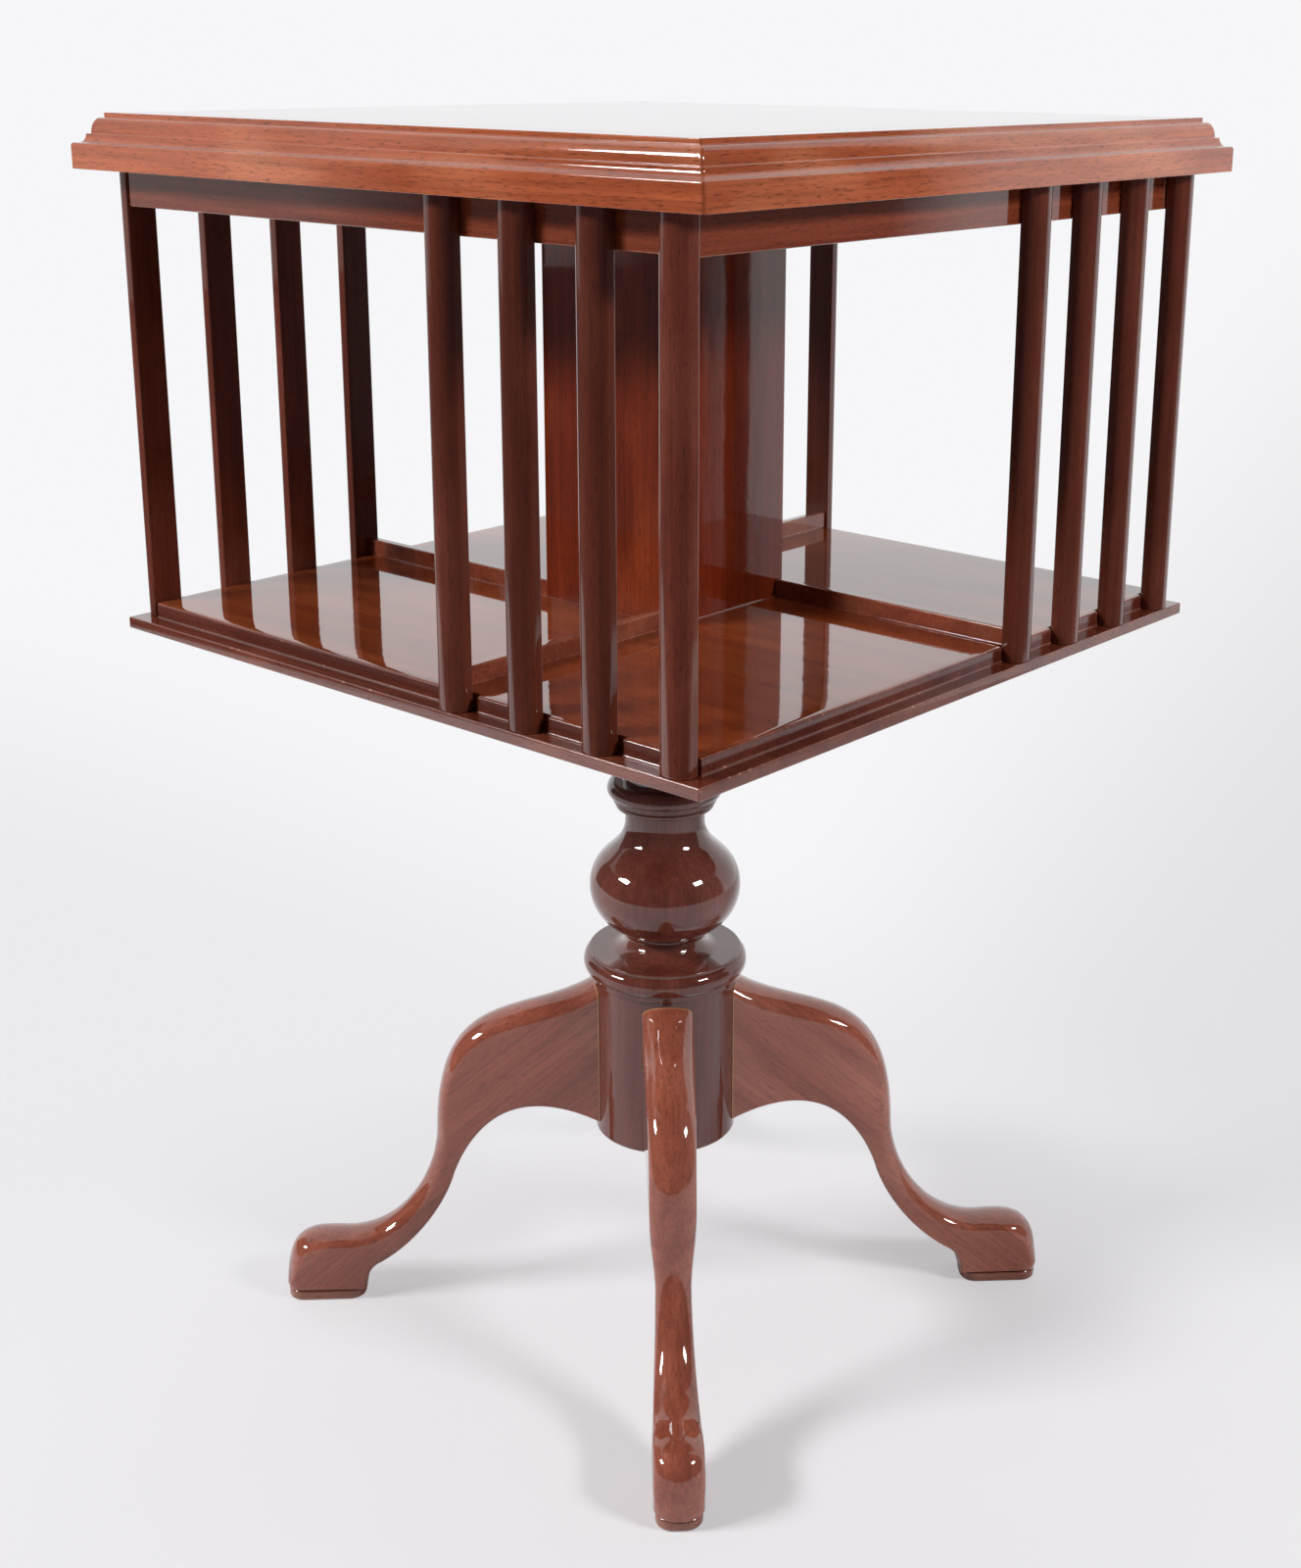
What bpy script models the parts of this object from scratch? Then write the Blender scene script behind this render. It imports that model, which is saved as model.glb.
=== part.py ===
"""A revolving book table: a square moulded top over one open tier of book bays, which turns as a whole
on a turned pillar with four cabriole legs.

Metres, +Z up. The origin is on the floor, on the axis that the case turns about. The front of the case
faces -Y. Every face of the case is the front turned by a multiple of 90 degrees.
"""

import math

import bmesh
import bpy
from mathutils import Matrix, Vector

# Clearances
GAP = 0.0003
RUNNING_GAP = 0.0001

# Pillar, turned in one piece, from the bottom up
BOSS_RADIUS = 0.0220
BOSS_HEIGHT = 0.0134
BOSS_EDGE = 0.0030
BLOCK_BOTTOM = 0.1160
BLOCK_RADIUS = 0.0439
BLOCK_HEIGHT = 0.1035
BLOCK_EDGE = 0.0020
COLLAR_FILLET_STEP = 0.0030
COLLAR_FILLET_HEIGHT = 0.0037
COLLAR_RADIUS = 0.0505
COLLAR_HEIGHT = 0.0118
COLLAR_RIM_INSET = 0.0035
COLLAR_RIM_HEIGHT = 0.0022
SCOTIA_WIDTH = 0.0110
SCOTIA_HEIGHT = 0.0088
NECK_RADIUS = 0.0230
BULB_FOOT_STEP = 0.0022
BULB_FOOT_HEIGHT = 0.0034
BULB_RADIUS = 0.0464
BULB_LOWER_CURVE = 0.0310
BULB_UPPER_CURVE = 0.0280
BULB_SHOULDER_ANGLE = math.radians(46.4)
THROAT_CURVE = 0.0220
THROAT_RADIUS = 0.0243
THROAT_HEIGHT = 0.0085
LOWER_RING_STEP = 0.0060
LOWER_RING_HEIGHT = 0.0040
UPPER_RING_STEP = 0.0075
UPPER_RING_HEIGHT = 0.0030
CUSHION_RADIUS = 0.0352
CUSHION_BELOW = 0.0045
CUSHION_ABOVE = 0.0055
CUSHION_TOP_INSET = 0.0045
SHAFT_FOOT_RADIUS = 0.0255
SHAFT_HEAD_RADIUS = 0.0225
SHAFT_HEIGHT = 0.0767
FLARE_HEIGHT = 0.0090
FLANGE_RADIUS = 0.0345
FLANGE_HEIGHT = 0.0090

# Legs
LEG_COUNT = 4
LEG_FIRST_ANGLE = math.radians(-46)
LEG_DROP = 0.0020
LEG_JOINT_HEIGHT = 0.0925
LEG_WIDTH = 0.0310
KNEE_REACH = 0.1445
KNEE_WIDTH = 0.0274
SHIN_HEIGHT = 0.1150
ARCH_RISE = 0.0200
CALF_DEPTH = 0.0105
CALF_HEIGHT = 0.0860
ANKLE_WIDTH = 0.0212
RIDGE_ROUND = 0.0090
UNDER_ARRIS = 0.0025
FOOT_REACH = 0.2428
FOOT_LENGTH = 0.0510
FOOT_WIDTH = 0.0286
FOOT_HEIGHT = 0.0430
TOE_ROUND = 0.0100
# Handles of the leg's curves
LEG_ROOT_DEPTH = 0.0055
NECK_PULL = 0.0456
NECK_SAG = 0.0320
KNEE_DROP = 0.0010
SHIN_LEAN = 0.0015
SHIN_PULL = 0.0350
INSTEP_LENGTH = 0.0367
INSTEP_PULL = 0.0360
TOE_PULL = 0.0110
TOE_SWELL = 0.0008
TOE_LEAN = 0.0020
TOE_EDGE = 0.0050
ROOT_FALL = 0.0040
ARCH_PULL = 0.0420
KNEE_BACK_LEAN = 0.0180
KNEE_BACK_PULL = 0.0520
CALF_LEAN = 0.0055
CALF_PULL = 0.0200
HOLLOW_DEPTH = 0.0075
HOLLOW_HEIGHT = 0.0172
HOLLOW_PULL = 0.0260
HOLLOW_RISE = 0.0135

# Foot pads
PAD_INSET = 0.0010
PAD_HEIGHT = 0.0070
PAD_EDGE = 0.0015

# Bearing
SPINDLE_RADIUS = 0.0080
SPINDLE_SEAT = 0.1100
SPINDLE_END = 0.0060
THRUST_WASHER_RADIUS = 0.0300
THRUST_WASHER_THICKNESS = 0.0015
PLATE_RADIUS = 0.0450
PLATE_THICKNESS = 0.0021
PLATE_SCREW_COUNT = 4
PLATE_SCREW_CIRCLE = 0.0390
PLATE_SCREW_RADIUS = 0.0018
PLATE_SCREW_LENGTH = 0.0100
PLATE_SCREW_HEAD_RADIUS = 0.0034
PLATE_SCREW_HEAD_HEIGHT = 0.0011
SPINDLE_HOLE_MARGIN = 0.0015
BUSH_WALL = 0.0030
BUSH_FLANGE = 0.0040
BUSH_FLANGE_THICKNESS = 0.0025
BUSH_BLOCK_HEIGHT = 0.0300
UPPER_BUSH_DROP = 0.0450
NUT_WASHER_RADIUS = 0.0150
NUT_WASHER_THICKNESS = 0.0020
NUT_ACROSS_FLATS = 0.0240
NUT_HEIGHT = 0.0110

# Plan of the case as half widths: the top stands out past the shelf's lip, the lip past the raised panel
TOP_HALF = 0.2300
TOP_OVERHANG = 0.00925
LIP_WIDTH = 0.01075

# Shelf
SHELF_BASE_THICKNESS = 0.0066
SHELF_PANEL_THICKNESS = 0.0085
SLAT_NOTCH_DEPTH = 0.0030
SLAT_NOTCH_SLACK = 0.0040

# Slats: four on each face, from the corner of the raised panel to just past the column's side
SLAT_COUNT = 4
SLAT_WIDTH = 0.0185
SLAT_THICKNESS = 0.0110
SLAT_CROWN = 0.0070
SLAT_PAST_COLUMN = 0.00175
SLAT_SINK = 0.0010
SLAT_LENGTH = 0.2539

# Rails, dividers and column
RAIL_HEIGHT = 0.0200
RAIL_THICKNESS = 0.0180
DIVIDER_HEIGHT = 0.0097
DIVIDER_THICKNESS = 0.0060
COLUMN_HALF = 0.0490
COLUMN_BOARD = 0.0120

# Top
FASCIA_HEIGHT = 0.0140
FASCIA_ROUND = 0.0015
LIP_STEP = 0.00325
COVE_WIDTH = 0.0029
COVE_HEIGHT = 0.0048
QUIRK_STEP = 0.0020
OVOLO_WIDTH = 0.0042
OVOLO_HEIGHT = 0.0084
TOP_STEP = 0.0013
TOP_FILLET_HEIGHT = 0.0027
MOULDING_WIDTH = 0.0350
TOP_PANEL_THICKNESS = 0.0190

# Facets
ROUND_STEPS = 36
SMALL_ROUND_STEPS = 24
CURVE_STEPS = 6
LEG_STEPS_PER_STRETCH = 8
RIDGE_STEPS = 8
ARRIS_STEPS = 2
CORNER_STEPS = 4
SLAT_STEPS = 8

QUARTER = math.radians(90)
SOFT_EDGE = math.radians(35)
LEG_SOFT_EDGE = math.radians(50)
FACES = ("front", "right", "back", "left")

for existing in list(bpy.data.objects):
    bpy.data.objects.remove(existing)


def material(name, colour, roughness, metallic=0.0):
    """A Principled material, its colour linear."""
    made = bpy.data.materials.new(name)
    made.use_nodes = True
    shader = made.node_tree.nodes["Principled BSDF"]
    shader.inputs["Base Color"].default_value = (*colour, 1.0)
    shader.inputs["Roughness"].default_value = roughness
    shader.inputs["Metallic"].default_value = metallic
    return made


TOP_WOOD = material("top_wood", (0.230, 0.065, 0.020), 0.12)
SHELF_WOOD = material("shelf_wood", (0.150, 0.036, 0.013), 0.08)
SLAT_WOOD = material("slat_wood", (0.085, 0.022, 0.011), 0.15)
COLUMN_WOOD = material("column_wood", (0.190, 0.055, 0.020), 0.15)
PILLAR_WOOD = material("pillar_wood", (0.085, 0.020, 0.013), 0.08)
LEG_WOOD = material("leg_wood", (0.160, 0.038, 0.017), 0.10)
PLAIN_WOOD = material("plain_wood", (0.330, 0.190, 0.090), 0.60)
STEEL = material("steel", (0.560, 0.560, 0.570), 0.30, 1.0)
BRASS = material("brass", (0.710, 0.500, 0.210), 0.30, 1.0)


def empty(name, z):
    """A helper on the turning axis that carries the pieces of one body."""
    made = bpy.data.objects.new(name, None)
    made.location = (0.0, 0.0, z)
    bpy.context.scene.collection.objects.link(made)
    return made


def add_object(name, mesh, wood, parent, turn=0.0):
    """An object for a mesh drawn in world coordinates, turned about the table's axis."""
    made = bpy.data.objects.new(name, mesh)
    if not mesh.materials:
        mesh.materials.append(wood)
    bpy.context.scene.collection.objects.link(made)
    made.parent = parent
    made.matrix_parent_inverse = Matrix.Translation(-parent.location)
    made.rotation_euler = (0.0, 0.0, turn)
    return made


def mesh_from(name, build, smooth_above=None):
    """A mesh filled by build(bm), with faces out, shaded smooth below the given edge angle."""
    bm = bmesh.new()
    build(bm)
    bmesh.ops.recalc_face_normals(bm, faces=bm.faces)
    mesh = bpy.data.meshes.new(name)
    bm.to_mesh(mesh)
    bm.free()
    if smooth_above is not None:
        mesh.shade_smooth()
        mesh.set_sharp_from_angle(angle=smooth_above)
    return mesh


def loft(bm, rings):
    """Quads between successive closed rings of points, with a face over each end."""
    loops = [[bm.verts.new(point) for point in ring] for ring in rings]
    for lower, upper in zip(loops, loops[1:]):
        for i in range(len(lower)):
            j = (i + 1) % len(lower)
            bm.faces.new((lower[i], lower[j], upper[j], upper[i]))
    bm.faces.new(loops[0])
    bm.faces.new(loops[-1])


def turned(name, outline, steps):
    """A mesh turned about Z from (radius, height) points. Off the axis, the outline closes on itself."""

    def build(bm):
        points = [bm.verts.new((radius, 0.0, height)) for radius, height in outline]
        pairs = list(zip(points, points[1:]))
        if outline[0][0] > 0.0:
            pairs.append((points[-1], points[0]))
        edges = [bm.edges.new(pair) for pair in pairs]
        bmesh.ops.spin(bm, geom=points + edges, axis=(0, 0, 1), cent=(0, 0, 0),
                       angle=2 * math.pi, steps=steps, use_merge=True)
        bmesh.ops.remove_doubles(bm, verts=bm.verts, dist=1e-6)

    return mesh_from(name, build, smooth_above=SOFT_EDGE)


def ellipse_quarter(start, end, first="radius", steps=CURVE_STEPS):
    """Points after start on a quarter ellipse that leaves start along the radius or the height."""
    points = []
    for i in range(1, steps + 1):
        angle = QUARTER * i / steps
        leading, following = math.sin(angle), 1.0 - math.cos(angle)
        across, up = (leading, following) if first == "radius" else (following, leading)
        points.append((start[0] + (end[0] - start[0]) * across, start[1] + (end[1] - start[1]) * up))
    return points


def half_round(start, height, reach, steps=2 * CURVE_STEPS):
    """Points of a half-round moulding that stands out by reach from start and is height high."""
    points = []
    for i in range(1, steps + 1):
        angle = math.pi * i / steps
        rise = height * (1.0 - math.cos(angle)) / 2
        points.append((start[0] + reach * math.sin(angle), start[1] + rise))
    return points


def arc(centre, radius, first, last, steps=CURVE_STEPS):
    """Points on an arc in the (radius, height) plane, without its first. Angles are from outward."""
    points = []
    for i in range(1, steps + 1):
        angle = first + (last - first) * i / steps
        points.append((centre[0] + radius * math.cos(angle), centre[1] + radius * math.sin(angle)))
    return points


def box(bm, low, high):
    """An axis-aligned box."""
    middle = [(a + b) / 2 for a, b in zip(low, high)]
    size = [b - a for a, b in zip(low, high)]
    bmesh.ops.create_cube(bm, size=1.0, matrix=Matrix.LocRotScale(Vector(middle), None, Vector(size)))


def prism(bm, outline, low, high):
    """An upright prism over a closed plan outline."""
    loft(bm, [[(x, y, low) for x, y in outline], [(x, y, high) for x, y in outline]])


def ring_outline(inner, outer, low, high):
    """The section of a flat ring, for turning."""
    return [(inner, high), (outer, high), (outer, low), (inner, low)]


def pillar_outline(bore_radius):
    """The pillar's half section, from the axis at its foot, up the outside and down the spindle's hole."""
    block_top = BLOCK_BOTTOM + BLOCK_HEIGHT
    boss_bottom = BLOCK_BOTTOM - BOSS_HEIGHT
    points = [(0.0, boss_bottom), (BOSS_RADIUS - BOSS_EDGE, boss_bottom)]
    points += ellipse_quarter(points[-1], (BOSS_RADIUS, boss_bottom + BOSS_EDGE), steps=3)
    points += [(BOSS_RADIUS, BLOCK_BOTTOM), (BLOCK_RADIUS - BLOCK_EDGE, BLOCK_BOTTOM)]
    points += ellipse_quarter(points[-1], (BLOCK_RADIUS, BLOCK_BOTTOM + BLOCK_EDGE), steps=3)
    fillet = BLOCK_RADIUS + COLLAR_FILLET_STEP
    points += [(BLOCK_RADIUS, block_top), (fillet, block_top)]
    points += [(fillet, block_top + COLLAR_FILLET_HEIGHT)]
    points += half_round(points[-1], COLLAR_HEIGHT, COLLAR_RADIUS - fillet, steps=8)
    rim = COLLAR_RADIUS - COLLAR_RIM_INSET
    rim_top = points[-1][1] + COLLAR_RIM_HEIGHT
    points += [(rim, points[-1][1]), (rim, rim_top)]
    points += [(NECK_RADIUS + SCOTIA_WIDTH, rim_top)]
    points += ellipse_quarter(points[-1], (NECK_RADIUS, rim_top + SCOTIA_HEIGHT))
    foot = NECK_RADIUS + BULB_FOOT_STEP
    points += [(foot, points[-1][1]), (foot, points[-1][1] + BULB_FOOT_HEIGHT)]

    lower_centre = BULB_RADIUS - BULB_LOWER_CURVE
    start_angle = -math.acos((foot - lower_centre) / BULB_LOWER_CURVE)
    belly = points[-1][1] - BULB_LOWER_CURVE * math.sin(start_angle)
    points += arc((lower_centre, belly), BULB_LOWER_CURVE, start_angle, 0.0, steps=8)
    points += arc((BULB_RADIUS - BULB_UPPER_CURVE, belly), BULB_UPPER_CURVE, 0.0, BULB_SHOULDER_ANGLE)
    throat_centre = THROAT_RADIUS + THROAT_CURVE
    hollow_start = throat_centre - THROAT_CURVE * math.cos(BULB_SHOULDER_ANGLE)
    slope_run = points[-1][0] - hollow_start
    throat_rise = slope_run / math.tan(BULB_SHOULDER_ANGLE) + THROAT_CURVE * math.sin(BULB_SHOULDER_ANGLE)
    throat = points[-1][1] + throat_rise
    points += [(hollow_start, throat - THROAT_CURVE * math.sin(BULB_SHOULDER_ANGLE))]
    points += arc((throat_centre, throat), THROAT_CURVE, math.pi + BULB_SHOULDER_ANGLE, math.pi)

    lower_ring = THROAT_RADIUS + LOWER_RING_STEP
    ring_foot = throat + THROAT_HEIGHT
    edge = LOWER_RING_HEIGHT / 4
    points += [(THROAT_RADIUS, ring_foot), (lower_ring - edge, ring_foot)]
    points += half_round(points[-1], LOWER_RING_HEIGHT, edge, steps=4)
    upper_ring = THROAT_RADIUS + UPPER_RING_STEP
    ring_top = points[-1][1] + UPPER_RING_HEIGHT
    points += [(upper_ring, points[-1][1]), (upper_ring, ring_top)]
    points += ellipse_quarter(points[-1], (CUSHION_RADIUS, ring_top + CUSHION_BELOW), steps=5)
    cushion_top = points[-1][1] + CUSHION_ABOVE
    cushion_edge = CUSHION_RADIUS - CUSHION_TOP_INSET
    points += ellipse_quarter(points[-1], (cushion_edge, cushion_top), "height", steps=5)
    points += [(SHAFT_FOOT_RADIUS, cushion_top), (SHAFT_HEAD_RADIUS, cushion_top + SHAFT_HEIGHT)]
    flare_top = points[-1][1] + FLARE_HEIGHT
    flange_edge = FLANGE_HEIGHT / 4
    points += ellipse_quarter(points[-1], (FLANGE_RADIUS - flange_edge, flare_top), "height", steps=5)
    points += half_round(points[-1], FLANGE_HEIGHT, flange_edge, steps=6)
    flange_top = points[-1][1]
    seat = flange_top - SPINDLE_SEAT
    points += [(bore_radius, flange_top), (bore_radius, seat), (0.0, seat)]
    return points


PILLAR = pillar_outline(SPINDLE_RADIUS + GAP)
PILLAR_TOP = max(height for radius, height in PILLAR)
BLOCK_TOP = BLOCK_BOTTOM + BLOCK_HEIGHT

# Levels of the case, from the bearing up, and its plan
THRUST_WASHER_BOTTOM = PILLAR_TOP + GAP
PLATE_BOTTOM = THRUST_WASHER_BOTTOM + THRUST_WASHER_THICKNESS + GAP
SHELF_BOTTOM = PLATE_BOTTOM + PLATE_THICKNESS + GAP
LIP_TOP = SHELF_BOTTOM + SHELF_BASE_THICKNESS
SHELF_TOP = LIP_TOP + GAP + SHELF_PANEL_THICKNESS
SLAT_BOTTOM = LIP_TOP + GAP
TOP_BOTTOM = SLAT_BOTTOM + SLAT_LENGTH + GAP
TABLE_HEIGHT = TOP_BOTTOM + FASCIA_HEIGHT + COVE_HEIGHT + OVOLO_HEIGHT + TOP_FILLET_HEIGHT
PANEL_BOTTOM = TABLE_HEIGHT - TOP_PANEL_THICKNESS
SHELF_BASE_HALF = TOP_HALF - TOP_OVERHANG
SHELF_PANEL_HALF = SHELF_BASE_HALF - LIP_WIDTH
SLAT_BACK = SHELF_PANEL_HALF - SLAT_SINK
RAIL_FACE = SLAT_BACK - GAP
COLUMN_INSIDE = COLUMN_HALF - COLUMN_BOARD
BUSH_RADIUS = SPINDLE_RADIUS + RUNNING_GAP + BUSH_WALL
UPPER_BLOCK_TOP = PANEL_BOTTOM - UPPER_BUSH_DROP
UPPER_FLANGE_TOP = UPPER_BLOCK_TOP + GAP + BUSH_FLANGE_THICKNESS
NUT_WASHER_BOTTOM = UPPER_FLANGE_TOP + GAP
NUT_BOTTOM = NUT_WASHER_BOTTOM + NUT_WASHER_THICKNESS + GAP

base = empty("base_axis", 0.0)
case = empty("case_axis", SHELF_BOTTOM)


def slat_centres():
    """Distances along a face of its slats' centres, evenly from the column's side to the panel's corner."""
    innermost = COLUMN_HALF + SLAT_PAST_COLUMN
    outermost = SHELF_PANEL_HALF - SLAT_WIDTH / 2
    return [innermost + (outermost - innermost) * i / (SLAT_COUNT - 1) for i in range(SLAT_COUNT)]


def build_pillar():
    add_object("pillar", turned("pillar", PILLAR, ROUND_STEPS), PILLAR_WOOD, base)


def bezier(a, b, c, d, t):
    """A point on a cubic curve."""
    s = 1.0 - t
    weights = (s * s * s, 3 * s * s * t, 3 * s * t * t, t * t * t)
    return tuple(sum(w * p[i] for w, p in zip(weights, (a, b, c, d))) for i in (0, 1))


def leg_curves():
    """The leg's side view as two chains of cubic curves of (reach, height): its ridge and its underside."""
    joint_top = BLOCK_TOP - LEG_DROP
    joint_foot = joint_top - LEG_JOINT_HEIGHT
    root = BLOCK_RADIUS - LEG_ROOT_DEPTH
    sole = PAD_HEIGHT + GAP
    heel = FOOT_REACH - FOOT_LENGTH
    shin = (KNEE_REACH, SHIN_HEIGHT)
    instep = (FOOT_REACH - INSTEP_LENGTH, FOOT_HEIGHT)
    toe = (FOOT_REACH, sole + TOE_EDGE)
    calf = (KNEE_REACH - CALF_DEPTH, CALF_HEIGHT)
    hollow = (heel - HOLLOW_DEPTH, sole + HOLLOW_HEIGHT)
    ridge = [
        ((root, BLOCK_TOP), (root + NECK_PULL, joint_top - NECK_SAG),
         (KNEE_REACH - SHIN_LEAN, joint_top - KNEE_DROP), shin),
        (shin, (KNEE_REACH + SHIN_LEAN, SHIN_HEIGHT - SHIN_PULL),
         (instep[0] - INSTEP_PULL, FOOT_HEIGHT), instep),
        (instep, (FOOT_REACH - TOE_PULL, FOOT_HEIGHT + TOE_SWELL),
         (FOOT_REACH - TOE_LEAN, FOOT_HEIGHT + TOE_SWELL), toe),
    ]
    underside = [
        ((root, joint_foot - ROOT_FALL), (root + ARCH_PULL, joint_foot + ARCH_RISE),
         (calf[0] - KNEE_BACK_LEAN, calf[1] + KNEE_BACK_PULL), calf),
        (calf, (calf[0] + CALF_LEAN, calf[1] - CALF_PULL),
         (hollow[0] - HOLLOW_PULL, hollow[1] + HOLLOW_RISE), hollow),
        (hollow, (heel - HOLLOW_DEPTH / 3, hollow[1] - HOLLOW_HEIGHT / 5),
         (heel, hollow[1] - HOLLOW_HEIGHT / 2), (heel, sole)),
        ((heel, sole), (heel + FOOT_LENGTH / 3, sole),
         (FOOT_REACH - FOOT_LENGTH / 3, sole), (FOOT_REACH, sole)),
    ]
    return ridge, underside


def along(chain, t):
    """The point at t on a chain of curves, each one unit long."""
    index = min(int(t), len(chain) - 1)
    return bezier(*chain[index], t - index)


def between(value, knots, results):
    """Piecewise linear reading of results at knots."""
    for (a, b), (p, q) in zip(zip(knots, knots[1:]), zip(results, results[1:])):
        if value <= b:
            return p + (q - p) * (value - a) / (b - a)
    return results[-1]


def eased(value, knots, results):
    """As between, with a level tangent at each knot."""
    for (a, b), (p, q) in zip(zip(knots, knots[1:]), zip(results, results[1:])):
        if value <= b:
            t = (value - a) / (b - a)
            return p + (q - p) * t * t * (3 - 2 * t)
    return results[-1]


def toe_half_width(reach, half):
    """Half the foot's width at a reach: its toe corners are round in plan."""
    past = reach - (FOOT_REACH - TOE_ROUND)
    if past <= 0.0:
        return half
    return half - TOE_ROUND + math.sqrt(max(TOE_ROUND ** 2 - past ** 2, 0.0))


def leg_section(ridge, under, half):
    """One section across the leg: round along the ridge, flat sides, small arrises below."""
    length = math.dist(ridge, under)
    down = ((under[0] - ridge[0]) / length, (under[1] - ridge[1]) / length)
    crown = min(RIDGE_ROUND, length / 2)
    arris = min(UNDER_ARRIS, length / 4)
    outline = []
    for i in range(RIDGE_STEPS + 1):
        angle = math.pi * i / RIDGE_STEPS
        outline.append((crown * (1.0 - math.sin(angle)), -half * math.cos(angle)))
    corner = []
    for i in range(ARRIS_STEPS + 1):
        angle = QUARTER * i / ARRIS_STEPS
        drawn_in = arris * (1.0 - math.cos(angle))
        corner.append((length - arris * (1.0 - math.sin(angle)), half - drawn_in))
    outline += corner
    outline += [(depth, -across) for depth, across in reversed(corner)]
    ring = []
    for depth, across in outline:
        reach = ridge[0] + down[0] * depth
        squeeze = toe_half_width(reach, half) / half
        ring.append((reach, across * squeeze, ridge[1] + down[1] * depth))
    return ring


def build_legs():
    ridge, underside = leg_curves()
    # joint, knee, ankle, instep, toe, as places on the two chains
    stretches = (0, 1, 2, 3, 4)
    ridge_knots = (0.0, 0.89, 1.25, 2.0, 3.0)
    under_knots = (0.0, 0.77, 1.04, 2.0, 4.0)
    width_knots = (0.0, 1.0, 2.0, 3.4, 4.0)
    widths = (LEG_WIDTH, KNEE_WIDTH, ANKLE_WIDTH, FOOT_WIDTH, FOOT_WIDTH)
    total = LEG_STEPS_PER_STRETCH * stretches[-1]
    rings = []
    for i in range(total + 1):
        place = stretches[-1] * i / total
        top = along(ridge, between(place, stretches, ridge_knots))
        under = along(underside, between(place, stretches, under_knots))
        rings.append(leg_section(top, under, eased(place, width_knots, widths) / 2))
    mesh = mesh_from("leg", lambda bm: loft(bm, rings), smooth_above=LEG_SOFT_EDGE)

    def cut(bm):
        bmesh.ops.create_cone(bm, cap_ends=True, segments=ROUND_STEPS, radius1=BLOCK_RADIUS + GAP,
                              radius2=BLOCK_RADIUS + GAP, depth=2 * BLOCK_TOP,
                              matrix=Matrix.Translation((0, 0, BLOCK_TOP)))

    cutter = add_object("block_cutter", mesh_from("block_cutter", cut), LEG_WOOD, base)
    cutter.hide_render = True
    cutter.display_type = "WIRE"
    for i in range(LEG_COUNT):
        leg = add_object(f"leg_{i + 1}", mesh, LEG_WOOD, base, LEG_FIRST_ANGLE + QUARTER * i)
        joint = leg.modifiers.new("block_joint", "BOOLEAN")
        joint.object = cutter
        joint.operation = "DIFFERENCE"
        joint.solver = "EXACT"


def rounded_plan(inner, outer, half, radius, inset):
    """A rectangle with round corners, long along the leg, drawn in by inset."""
    outline = []
    radius = min(radius, half)
    near, far, side = inner + radius, outer - radius, half - radius
    for i, (reach, across) in enumerate(((far, side), (near, side), (near, -side), (far, -side))):
        for step in range(CORNER_STEPS + 1):
            angle = QUARTER * (i + step / CORNER_STEPS)
            drawn = radius - inset
            outline.append((reach + drawn * math.cos(angle), across + drawn * math.sin(angle)))
    return outline


def build_pads():
    rings = []
    upper_edge = PAD_HEIGHT - PAD_EDGE
    for inset, height in ((PAD_EDGE, 0.0), (0.0, PAD_EDGE), (0.0, upper_edge), (PAD_EDGE, PAD_HEIGHT)):
        plan = rounded_plan(FOOT_REACH - FOOT_LENGTH + PAD_INSET, FOOT_REACH - PAD_INSET,
                            FOOT_WIDTH / 2 - PAD_INSET, TOE_ROUND, inset)
        rings.append([(x, y, height) for x, y in plan])
    mesh = mesh_from("foot_pad", lambda bm: loft(bm, rings), smooth_above=LEG_SOFT_EDGE)
    for i in range(LEG_COUNT):
        add_object(f"foot_pad_{i + 1}", mesh, LEG_WOOD, base, LEG_FIRST_ANGLE + QUARTER * i)


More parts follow.
